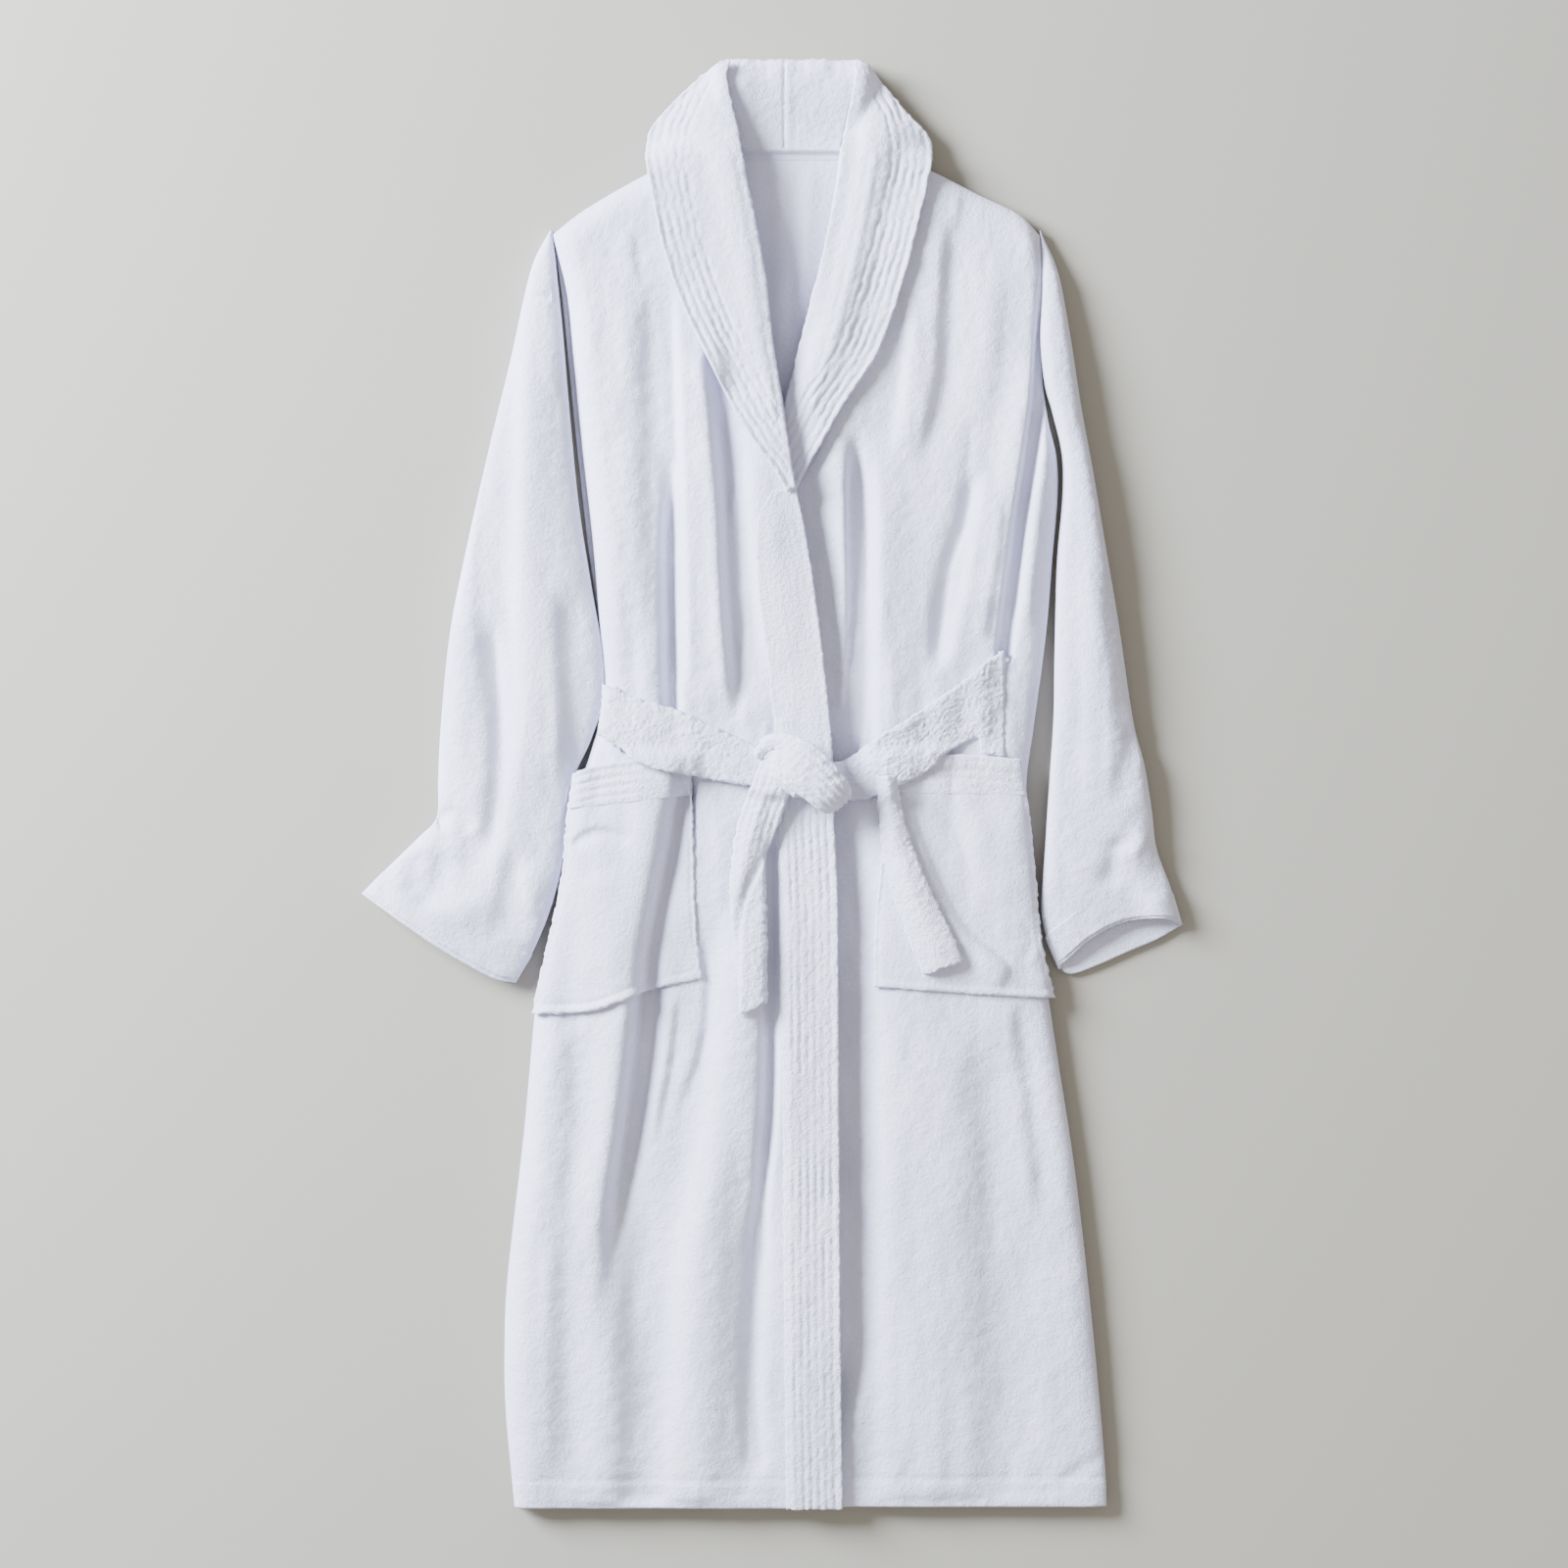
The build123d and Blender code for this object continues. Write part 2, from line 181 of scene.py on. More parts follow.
class HeightMap:
    """The top of everything laid so far."""

    def __init__(self):
        self.top = np.zeros((NY, NX))

    def add(self, x, y, z):
        for _ in range(2):
            x, y, z = [halve(v) for v in (x, y, z)]
        ix = np.clip(np.round((x - X0) / RAISE_STEP).astype(int), 0, NX - 1)
        iy = np.clip(np.round((y - Y0) / RAISE_STEP).astype(int), 0, NY - 1)
        np.maximum.at(self.top, (iy, ix), z)

    def support(self, x, y, stiffness):
        """How high cloth of that stiffness lies, in millimetres of reach, over what is below it."""
        over = self.top
        if stiffness > RAISE_STEP / 2:
            over = blur(spread(self.top, stiffness), stiffness * 0.6)
        return sample(over, x, y)


def halve(v):
    """A grid with one more row and column between each two."""
    out = np.empty((2 * v.shape[0] - 1, 2 * v.shape[1] - 1))
    out[::2, ::2] = v
    out[1::2, ::2] = (v[:-1] + v[1:]) / 2
    out[:, 1::2] = (out[:, :-1:2] + out[:, 2::2]) / 2
    return out


below = HeightMap()


# ---------------- grids of cloth
class Grid:
    """A four-sided stretch of cloth: left and right run from bottom to top, bottom and top from
    left to right."""

    def __init__(self, left, right, bottom=None, top=None, step=3.0, step_along=None):
        sides = (left, right, bottom or [left[0], right[0]], top or [left[-1], right[-1]])
        a, b, c, d = [curve(side, 600) for side in sides]
        across = max(line_length(c), line_length(d), np.linalg.norm(a - b, axis=1).max())
        along = max(line_length(a), line_length(b))
        self.u = shares_for(across, step)
        self.v = shares_for(along, step_along or step)
        a, b = resample(a, self.v), resample(b, self.v)
        c, d = resample(c, self.u), resample(d, self.u)
        u = self.u[None, :, None]
        v = self.v[:, None, None]
        place = (a[:, None] * (1 - u) + b[:, None] * u + c[None] * (1 - v) + d[None] * v
                 - (c[0] * (1 - u) * (1 - v) + c[-1] * u * (1 - v)
                    + d[0] * (1 - u) * v + d[-1] * u * v))
        self.x = place[..., 0]
        self.y = place[..., 1]
        self.U = np.broadcast_to(self.u[None], self.x.shape)
        self.V = np.broadcast_to(self.v[:, None], self.x.shape)
        self._distances()

    def _distances(self):
        """Millimetres from each point to the four edges, along the grid's own lines."""
        du = np.hypot(np.diff(self.x, axis=1), np.diff(self.y, axis=1))
        dv = np.hypot(np.diff(self.x, axis=0), np.diff(self.y, axis=0))
        zero_u = np.zeros((self.x.shape[0], 1))
        zero_v = np.zeros((1, self.x.shape[1]))
        self.from_left = np.hstack([zero_u, np.cumsum(du, 1)])
        self.from_right = self.from_left[:, -1:] - self.from_left
        self.from_bottom = np.vstack([zero_v, np.cumsum(dv, 0)])
        self.from_top = self.from_bottom[-1:] - self.from_bottom

    def edge(self, sides="lrbt"):
        """Distance to the nearest of the sides named."""
        all_sides = {"l": self.from_left, "r": self.from_right,
                     "b": self.from_bottom, "t": self.from_top}
        return np.min([all_sides[s] for s in sides], axis=0)


def rounded(distance, radius):
    """A quarter round: 0 at an edge and 1 from radius inwards."""
    t = np.clip(distance / radius, 0, 1)
    return np.sqrt(1 - (1 - t) ** 2)


def beside(x, y, points, reach):
    """For the places within reach of a line: where they are in the grid, how far from the line,
    whether on its left, and at what share of its length."""
    path = curve(points, 40)
    low, high = path.min(0) - reach, path.max(0) + reach
    near = (x > low[0]) & (x < high[0]) & (y > low[1]) & (y < high[1])
    flat = np.stack([x[near], y[near]], 1)
    best = np.full(len(flat), 1e9)
    side = np.zeros(len(flat))
    share = np.zeros(len(flat))
    for i in range(len(path) - 1):
        a, b = path[i], path[i + 1]
        d = b - a
        t = np.clip(((flat - a) @ d) / (d @ d), 0, 1)
        gap = flat - a - t[:, None] * d
        distance = np.hypot(gap[:, 0], gap[:, 1])
        closer = distance < best
        best = np.where(closer, distance, best)
        side = np.where(closer, d[0] * gap[:, 1] - d[1] * gap[:, 0], side)
        share = np.where(closer, (i + t) / (len(path) - 1), share)
    return near, best, side > 0, share


def fade_ends(share, ends):
    return smooth(share / max(ends[0], 1e-3)) * smooth((1 - share) / max(ends[1], 1e-3))


def fold(x, y, points, height, width, other_width=None, ends=(0.15, 0.15), sharp=2.0):
    """A ridge, or with a negative height a valley, along a line through the points.

    width and other_width are its half widths to the left and to the right of the line, so east
    and west of a line that runs down the robe. ends are the shares of its length over which it
    fades in and out.
    """
    near, distance, left, share = beside(x, y, points, 2.5 * max(width, other_width or width))
    reach = np.where(left, width, other_width or width)
    out = np.zeros(x.shape)
    out[near] = height * fade_ends(share, ends) * np.exp(-(distance / reach) ** sharp)
    return out


def drop(x, y, points, height, east, west, blend=3.0, ends=(0.15, 0.15)):
    """Cloth that rises gently from the west to a line running down the robe, and falls beyond it."""
    near, distance, left, share = beside(x, y, points, 3.2 * max(east, west))
    sign = np.where(left, -1.0, 1.0)
    reach = np.where(left, east, west)
    step = sign * np.tanh(distance / blend) * np.exp(-(distance / reach) ** 1.5)
    out = np.zeros(x.shape)
    out[near] = height / 2 * fade_ends(share, ends) * step
    return out


def relief_of(x, y, folds, drops):
    return sum(fold(x, y, *f) for f in folds) + sum(drop(x, y, *d) for d in drops)


# ---------------- meshes
def mesh_object(name, vertices, faces):
    mesh = bpy.data.meshes.new(name)
    mesh.from_pydata((np.asarray(vertices) * MM).tolist(), [], faces)
    mesh.validate()
    mesh.polygons.foreach_set("use_smooth", [True] * len(mesh.polygons))
    piece = bpy.data.objects.new(name + "_cloth", mesh)
    bpy.context.scene.collection.objects.link(piece)
    return piece


def shell_faces(top, bottom):
    """Faces of a closed shell from two index grids that share their outermost rows and columns."""
    faces = []
    for grid, order in ((top, (0, 1, 2, 3)), (bottom, (0, 3, 2, 1))):
        corners = (grid[:-1, :-1], grid[:-1, 1:], grid[1:, 1:], grid[1:, :-1])
        faces += np.stack([corners[k].ravel() for k in order], 1).tolist()
    return faces


def ring_faces(rings, around):
    """Numbers of the points on rings that follow one another, and the faces between the rings."""
    index = np.arange(rings * around).reshape(rings, around)
    following = np.roll(index, -1, axis=1)
    return index, np.stack([index[:-1], following[:-1], following[1:], index[1:]], -1).reshape(-1, 4)


def cloth_mesh(name, x, y, middle, thickness, edge, follow=False):
    """A sheet with rounded rims: middle is the height of the sheet's middle surface.

    Its thickness is upright, or with follow it is square to the surface, for a sheet that rolls.
    """
    half = thickness / 2
    swell = half * rounded(edge, half)
    centre = np.stack([x, y, middle], -1)
    normal = np.zeros_like(centre)
    normal[..., 2] = 1
    if follow:
        normal = np.cross(np.gradient(centre, axis=1), np.gradient(centre, axis=0))
        normal /= np.linalg.norm(normal, axis=-1, keepdims=True) + 1e-9
    count = x.size
    top = np.arange(count).reshape(x.shape)
    bottom = top.copy()
    inside = bottom[1:-1, 1:-1]
    inside[:] = count + np.arange(inside.size).reshape(inside.shape)
    rim = np.zeros(x.shape, bool)
    rim[[0, -1], :] = True
    rim[:, [0, -1]] = True
    swell = np.where(rim, 0, swell)[..., None]
    upper = centre + swell * normal
    lower = (centre - swell * normal)[1:-1, 1:-1]
    points = np.vstack([upper.reshape(-1, 3), lower.reshape(-1, 3)])
    return mesh_object(name, points, shell_faces(top, bottom))


def lay(name, grid, thickness, relief=0.0, stiffness=5.0, gap=0.3, floor=None, ruffle=0.0):
    """Lay a sheet on what is already there and note it in the height map.

    relief is added to the height at which it lies; floor is the lowest height of its underside;
    ruffle is how unevenly its edge runs.
    """
    x, y = grid.x, grid.y
    under = below.support(x, y, stiffness) + gap + relief
    if floor is not None:
        under = np.maximum(under, floor)
    under = np.maximum(under, sample(below.top, x, y) + gap)
    middle = under + thickness / 2
    edge = grid.edge()
    if ruffle:
        near = np.exp(-edge / 3.0)
        x = x + ruffle * near * noise(grid.x, grid.y, 3.1, 3)
        y = y + ruffle * near * noise(grid.x, grid.y, 3.1, 4)
        middle = middle + 0.6 * ruffle * near * noise(grid.x, grid.y, 2.7, 5)
    piece = cloth_mesh(name, x, y, middle, thickness, edge)
    below.add(x, y, middle + thickness / 2 * rounded(edge, thickness / 2))
    return piece


# ---------------- materials
def node(tree, kind, **values):
    made = tree.nodes.new(kind)
    for key, value in values.items():
        if key in made.inputs:
            made.inputs[key].default_value = value
        else:
            setattr(made, key, value)
    return made


def towelling(name, light, dark, pile, loops, roughness, sheen, depth=1.0):
    """Cotton pile: fine lumps for the pile's ends, larger ones for loops or brushed patches."""
    material = bpy.data.materials.new(name)
    material.use_nodes = True
    tree = material.node_tree
    tree.nodes.clear()
    link = tree.links.new
    out = node(tree, "ShaderNodeOutputMaterial")
    shader = node(tree, "ShaderNodeBsdfPrincipled")
    shader.inputs["Roughness"].default_value = roughness
    shader.inputs["Sheen Weight"].default_value = sheen
    shader.inputs["Sheen Roughness"].default_value = 0.55
    shader.inputs["Sheen Tint"].default_value = (0.96, 0.97, 1.0, 1)
    shader.inputs["Specular IOR Level"].default_value = 0.18
    link(shader.outputs[0], out.inputs["Surface"])
    place = node(tree, "ShaderNodeTexCoord")
    fine = node(tree, "ShaderNodeTexNoise", Scale=pile, Detail=3.0, Roughness=0.65)
    patches = node(tree, "ShaderNodeTexNoise", Scale=loops, Detail=4.0, Roughness=0.6)
    broad = node(tree, "ShaderNodeTexNoise", Scale=9.0, Detail=2.0)
    for texture in (fine, patches, broad):
        link(place.outputs["Object"], texture.inputs["Vector"])
    mixed = node(tree, "ShaderNodeMath", operation="MULTIPLY_ADD")
    mixed.inputs[1].default_value = 0.5
    link(patches.outputs["Fac"], mixed.inputs[0])
    link(broad.outputs["Fac"], mixed.inputs[2])
    ramp = node(tree, "ShaderNodeValToRGB")
    ramp.color_ramp.elements[0].position = 0.5
    ramp.color_ramp.elements[0].color = dark + (1,)
    ramp.color_ramp.elements[1].position = 0.95
    ramp.color_ramp.elements[1].color = light + (1,)
    link(mixed.outputs[0], ramp.inputs["Fac"])
    link(ramp.outputs["Color"], shader.inputs["Base Color"])
    small = node(tree, "ShaderNodeBump", Strength=0.6, Distance=0.0012 * depth)
    link(fine.outputs["Fac"], small.inputs["Height"])
    large = node(tree, "ShaderNodeBump", Strength=0.55, Distance=0.0022 * depth)
    link(patches.outputs["Fac"], large.inputs["Height"])
    link(small.outputs["Normal"], large.inputs["Normal"])
    link(large.outputs["Normal"], shader.inputs["Normal"])
    return material


VELOUR = towelling("velour", (0.74, 0.738, 0.89), (0.64, 0.637, 0.79), 900.0, 260.0, 0.92, 0.25)
TERRY = towelling("terry", (0.76, 0.758, 0.90), (0.64, 0.637, 0.78), 700.0, 330.0, 0.95, 0.3, 1.5)
TAPE = towelling("tape", (0.70, 0.695, 0.84), (0.66, 0.655, 0.80), 1500.0, 700.0, 0.9, 0.1)


def made_of(material, piece, *more):
    """Give a piece its cloth. It stands for the node of its own name and for any others named."""
    piece.data.materials.clear()
    piece.data.materials.append(material)
    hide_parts(piece.name.removesuffix("_cloth"), *more)


def on_robe(piece, flat, held="laid", **cut):
    """A sheet of cloth that stays with the robe's body."""
    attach(piece, "robe_body")


# ---------------- seam lines of the robe
RIGHT_SIDE = [
    (-232, -646), (-240, -560), (-241, -497), (-238, -436), (-224, -313), (-216, -225),
    (-212, -190), (-199, -130), (-190, -85), (-184, -30), (-164, 30), (-152, 80), (-156, 140),
    (-167, 220), (-176, 300), (-184, 380), (-190, 440), (-198, 495),
]
LEFT_SIDE = [
    (299, -645), (297, -602), (286, -480), (271, -348), (255, -243), (247, -190), (237, -120),
    (230, -60), (227, 0), (233, 50), (240, 100), (246, 150), (250, 200), (255, 260), (254, 295),
    (247, 325), (242, 360), (241, 400), (242, 440), (239, 494),
]
FRONT_EDGE = [
    (62, -646), (60, -500), (59, -353), (58, -178), (57, -95), (54, -25), (52, 40), (45, 110),
    (36, 180), (27, 235), (17, 275),
]
RIGHT_ROLL = [(17, 275), (10, 335), (3, 375), (-2, 410), (-7, 450), (-15, 500), (-24, 545), (-30, 573)]
LEFT_ROLL = [(-20, 290), (8, 340), (22, 385), (34, 430), (46, 484), (55, 535), (60, 573)]
NECK = [(-30, 573), (15, 574), (60, 573)]
COLLAR_TOP = 648
RIGHT_SHOULDER = [(-198, 495), (-166, 519), (-113, 549), (-70, 567), (-30, 573)]
LEFT_SHOULDER = [(60, 573), (100, 567), (139, 553), (185, 530), (220, 513), (239, 494)]
HEM_HEIGHT = 26.0
LOW_FRONT = 5.5             # height of the fronts' undersides where they lie flat
SEAM_HEIGHT = 5.4           # and along the side and shoulder seams


def towards(points, dx):
    return [(x + dx, y) for x, y in points]


def open_armhole(side, gap):
    """A side line drawn in by gap along the armhole, and left in place at the waist and shoulder."""
    return [(x + gap * float(smooth((y - 130) / 90) * smooth((500 - y) / 60)), y) for x, y in side]


def hem_stitch(grid):
    """The line of stitching above the hem, and the slightly thicker turning below it."""
    e = grid.from_bottom
    line = -0.8 * np.exp(-((e - HEM_HEIGHT) / 2.0) ** 2)
    turning = 0.7 * (1 - smooth((e - HEM_HEIGHT + 4) / 4))
    return line + turning


def brushed(x, y, amount=1.0):
    """Gentle unevenness of laid cloth, longer along the robe than across."""
    waist = np.exp(-np.abs(y - 45) / 90)
    return amount * (1.3 * noise(x, y * 0.3, 42, 1) + 0.7 * noise(x, y * 0.45, 17, 2)
                     + 0.38 * noise(x, y, 7, 6) + 0.2 * noise(x, y, 4.4, 7)
                     + 2.2 * waist * noise(x, y * 0.16, 13, 9))


# ---------------- body
def rows(distance, first, pitch, count, depth=1.3, width=1.5):
    """Rows of stitching that pull the cloth in, with the cloth between them standing proud."""
    out = np.zeros(distance.shape)
    for k in range(count):
        out -= depth * np.exp(-((distance - first - k * pitch) / width) ** 2)
    return out


def terry_lumps(x, y):
    """Standing loops of terry, in tufts a few millimetres across."""
    bent = x + 1.5 * noise(x, y, 7, 4)
    return 0.45 * noise(bent, y, 2.7, 7) + 0.4 * noise(bent, y, 1.9, 8) + 0.35 * noise(bent, y, 6.5, 5)


def loops(x, y, amount=0.8):
    """The lumps that terry loops stand in."""
    return amount * (0.6 * noise(x, y, 4.6, 7) + 0.55 * noise(x, y, 2.7, 8))


BELT_WIDTH = 46.0


def belt_back():
    grid = Grid([(-152, 50), (-152, 96)], [(228, 50), (228, 96)], step=4.0)
    piece = lay("belt_back", grid, 2.6, stiffness=0, gap=0.2)
    made_of(TERRY, piece)
    on_robe(piece, (BELT_WIDTH / 1000, 0.38))


def back_panel():
    top = RIGHT_SHOULDER[:-1] + NECK + LEFT_SHOULDER[1:]
    grid = Grid(RIGHT_SIDE, LEFT_SIDE, [RIGHT_SIDE[0], LEFT_SIDE[0]], top, step=4.0)
    x, y = grid.x, grid.y
    creases = fold(x, y, [(5, 380), (8, 470), (2, 560)], 2.2, 8)
    creases = creases + fold(x, y, [(22, 400), (30, 480), (34, 565)], 1.8, 7)
    piece = lay("back_panel", grid, 4.0, relief=creases + brushed(x, y, 0.3) + 0.3, stiffness=6, gap=0.2)
    made_of(VELOUR, piece, "back_hem")
    on_robe(piece, (0.60, 1.25), rests_on=["belt_back"], area=0.62)


def neck():
    """Collar stand with its rolled top and the fall behind it, neck tape and hanger loop."""
    foot, stand_height = 6.7, 13.2
    fall_height = 2.0
    fall_depth = 62
    grid = Grid([(-30, 570), (-36, 600), (-43, 641)], [(61, 570), (67, 600), (77, 641)], step=1.8)
    x, y = grid.x, grid.y
    rise = smooth((y - 575) / 62)
    z = foot + stand_height * rise
    z = z - 1.4 * np.exp(-((x - 10) / 1.3) ** 2) + 0.5 * np.exp(-((x - 14) / 3.0) ** 2)
    z = z + 1.2 * noise(x, y, 17, 2) * rise + 2.2 * rise * np.exp(-((x + 28) / 14) ** 2)
    z = z + loops(x, y, 0.35)
    angle = np.linspace(0, np.pi, 14)[1:, None]
    radius = (z[-1] - fall_height) / 2
    roll_x = x[-1] + 0 * angle
    roll_y = y[-1] + radius * np.sin(angle) * 0.9
    roll_z = z[-1] - radius + radius * np.cos(angle)
    depth = np.linspace(0, 1, 24)[1:, None]
    fall_x = 10 + (x[-1] - 10) * (1 + 0.55 * depth)
    fall_y = y[-1] - fall_depth * depth
    fall_z = fall_height + 0 * fall_x
    x = np.vstack([x, roll_x, fall_x])
    y = np.vstack([y, roll_y, fall_y])
    z = np.vstack([z, roll_z, fall_z])
    near = np.exp(-((y - COLLAR_TOP) / 6.0) ** 2)
    y = y + 1.1 * near * noise(x, z * 3, 3.0, 4)
    z = z + loops(x, y, 0.9) * near
    v = np.cumsum(np.hypot(np.diff(y, axis=0, prepend=y[:1]), np.diff(z, axis=0, prepend=z[:1])), 0)
    u = np.cumsum(np.diff(x, axis=1, prepend=x[:, :1]), 1)
    edge = np.minimum.reduce([v, v[-1:] - v, u, u[:, -1:] - u])
    piece = cloth_mesh("collar_stand", x, y, z, 4.0, edge, follow=True)
    below.add(grid.x, grid.y, z[:grid.x.shape[0]] + 2.0)
    made_of(VELOUR, piece)
    on_robe(piece, (0.17, 0.15), held="folded", rests_on=["back_panel"])

    grid = Grid([(-27, 562), (-28, 573)], [(60, 562), (61, 573)], step=1.6)
    piece = lay("neck_tape", grid, 1.4, stiffness=0, gap=-1.0)
    made_of(TAPE, piece)
    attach(piece, "robe_body")

    path = [(-3, 589, 6.2), (-2, 604, 6.4), (10, 615, 6.8), (22, 604, 6.4), (23, 589, 6.2)]
    piece = tube("hanger_loop", path, [6, 6], [1.5, 1.5], around=16, along=40, lump=0.1)
    made_of(TAPE, piece)
    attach(piece, "robe_body")


def front_panel(side, grid, rise, side_round, stiffness, folds, drops):
    """A front with its folds: half as high at the hem, and low along the side and shoulder seams."""
    x, y = grid.x, grid.y
    hem = 1 - 0.5 * np.exp(-grid.from_bottom / 80)
    under = LOW_FRONT + rise * hem + relief_of(x, y, folds, drops) * hem + brushed(x, y)
    under = SEAM_HEIGHT + (under - SEAM_HEIGHT) * (side_round * rounded(grid.from_top, 26))
    piece = lay(side + "_front_panel", grid, 4.4, stiffness=stiffness, floor=under + hem_stitch(grid))
    made_of(VELOUR, piece, side + "_front_hem")
    return piece


def left_front():
    """The lower front. It lies low where the other front covers it, and rises beyond its edge."""
    left = [(-60, -645), (-60, -300), (-58, -60), (-52, 120), (-40, 230)] + LEFT_ROLL
    grid = Grid(left, LEFT_SIDE, [left[0], LEFT_SIDE[0]], LEFT_SHOULDER, step=3.1)
    x, y = grid.x, grid.y
    edge_x = np.interp(y, [p[1] for p in FRONT_EDGE], [p[0] for p in FRONT_EDGE])
    near_hem = smooth((-490 - y) / 120)
    clear = smooth((x - edge_x - 5 + 36 * near_hem) / 38)
    piece = front_panel("left", grid, 12.0 * clear, rounded(grid.from_right, 22), 3,
                        LEFT_FRONT_FOLDS, LEFT_FRONT_DROPS)
    on_robe(piece, (0.42, 1.25), rests_on=["back_panel"], area=0.42)

    line = [(p[0] + 1, p[1]) for p in left[:-6]]
    grid = Grid(line, towards(line, 46), step=3.0)
    piece = lay("left_front_band", grid, 2.2, stiffness=2,
                relief=0.5 + rows(grid.from_left, 6, 8, 5, 0.5, 1.5))
    made_of(TERRY, piece)
    on_robe(piece, (0.046, 0.88), rests_on=["left_front_panel"])


LEFT_FRONT_FOLDS = [
    # points down the robe, height, east half width, west half width, ends, sharpness
    ([(74, 330), (75, 250), (76, 200), (76, 140), (74, 80), (68, 20)], -22, 7, 8, (0.3, 0.05), 2.8),
    ([(178, 290), (171, 240), (158, 200), (150, 150), (144, 95)], -5, 5, 8, (0.2, 0.2)),
    ([(242, 470), (241, 420), (237, 350), (231, 300), (223, 250), (217, 205), (210, 150), (205, 108)],
     -22, 6, 5.5, (0.3, 0.04), 3),
    ([(232, 400), (226, 350), (219, 300), (211, 250), (205, 200), (200, 150)], 5, 9, 14, (0.25, 0.1)),
    ([(247, 330), (243, 290), (236, 240), (230, 190), (224, 130)], 6, 9, 9, (0.2, 0.2)),
    ([(175, 330), (176, 300), (170, 270)], -1.5, 5, 5, (0.3, 0.3)),
    ([(298, -598), (282, -606), (268, -616), (250, -627)], -2.5, 8, 7, (0.1, 0.3)),
]
LEFT_FRONT_DROPS = [
    # points down the robe, height, east reach, west reach, blend, ends
    # (a negative height rises towards the east)
    ([(69, 330), (69, 250), (70, 180), (69, 110), (66, 50)], 12, 10, 18, 4, (0.25, 0.1)),
    ([(90, 330), (90, 220), (90, 140), (90, 60), (92, -60)], -13, 24, 10, 5, (0.3, 0.2)),
    ([(122, 435), (117, 380), (110, 320), (100, 280)], -7, 18, 14, 7, (0.2, 0.3)),
    ([(160, 520), (154, 475), (151, 430), (149, 385), (143, 345), (133, 305), (124, 270)],
     10, 20, 26, 6, (0.2, 0.3)),
    ([(168, 545), (167, 520), (163, 490)], 3, 9, 12, 4, (0.3, 0.3)),
    ([(186, 290), (180, 240), (170, 190), (158, 130), (150, 95)], -10, 20, 12, 7, (0.15, 0.15)),
    ([(205, 270), (203, 220), (196, 170), (190, 125)], 5, 12, 16, 4, (0.25, 0.1)),
    ([(205, 480), (203, 420), (198, 360), (192, 310)], 6, 24, 30, 12, (0.3, 0.3)),
    # skirt
    ([(98, -60), (98, -200), (100, -350), (98, -480), (96, -640)], -8, 60, 20, 12, (0.15, 0.02)),
    ([(178, -190), (180, -300), (185, -420), (190, -560), (192, -640)], 15, 50, 54, 26, (0.15, 0.02)),
    ([(212, -190), (220, -240), (228, -300), (234, -360), (238, -430)], 6, 18, 24, 7, (0.1, 0.4)),
    ([(150, -420), (152, -500), (156, -640)], 2.5, 20, 20, 10, (0.3, 0.02)),
]


def right_front():
    grid = Grid(open_armhole(RIGHT_SIDE, 5), FRONT_EDGE + RIGHT_ROLL[1:], [RIGHT_SIDE[0], FRONT_EDGE[0]],
                RIGHT_SHOULDER, step=2.85)
    piece = front_panel("right", grid, 18.5, rounded(grid.from_left, 24), 6,
                        RIGHT_FRONT_FOLDS, RIGHT_FRONT_DROPS)
    on_robe(piece, (0.42, 1.25), rests_on=["left_front_panel", "back_panel"], area=0.40)

    width = 50.0
    grid = Grid(towards(FRONT_EDGE[:-2], -width) + [(-14, 235), (-2, 262)], FRONT_EDGE[:-1] + [(20, 268)],
                step=1.2, step_along=2.0)
    x, y = grid.x, grid.y
    shown = smooth((50 - y) / 30)
    uneven = 0.7 + 0.6 * noise(x, y * 0.4, 15, 3) + 0.3 * noise(x, y, 5, 9)
    ribs = rows(grid.from_right, 6.5, 6.8, 6, 0.9, 1.6) * (0.12 + 0.88 * shown) * uneven
    rim = 0.9 * np.exp(-(grid.from_right / 3.5) ** 2)
    swell = 1.0 * rounded(grid.from_left, 14) * (0.3 + 0.7 * shown)
    sunk = np.where(y > 60, 22, 8)
    relief = swell + 1.9 * smooth(grid.from_left / sunk) * smooth((268 - y) / 40) + ribs + rim
    relief = relief + loops(x, y, 0.5) * (0.35 + 0.65 * shown)
    piece = lay("right_front_band", grid, 2.4, relief=relief, stiffness=5, gap=-2.0, ruffle=0.7)
    made_of(TERRY, piece)
    on_robe(piece, (0.05, 0.92), rests_on=["right_front_panel"])


RIGHT_FRONT_FOLDS = [
    # bodice
    ([(-92, 310), (-91, 250), (-91, 190), (-90, 120), (-89, 58)], -19, 4.5, 8, (0.4, 0.04), 2.2),
    ([(-48, 350), (-42, 300), (-38, 250), (-36, 200), (-33, 150), (-29, 100)], -6, 6, 7, (0.15, 0.2)),
    # skirt
    ([(-3, -35), (-2, -100), (-2, -200), (-3, -280), (-8, -340), (-13, -400), (-16, -450)],
     -17, 5.5, 7, (0.08, 0.35), 2.2),
    ([(-10, -350), (-14, -410), (-18, -470), (-20, -540), (-18, -590), (-10, -622)],
     -10, 10, 10, (0.25, 0.1)),
    ([(-76, 20), (-87, -45), (-98, -100), (-107, -150), (-111, -195), (-115, -240), (-121, -285),
      (-129, -330), (-138, -380), (-145, -430), (-149, -500)], -17, 9, 9, (0.06, 0.5)),
]
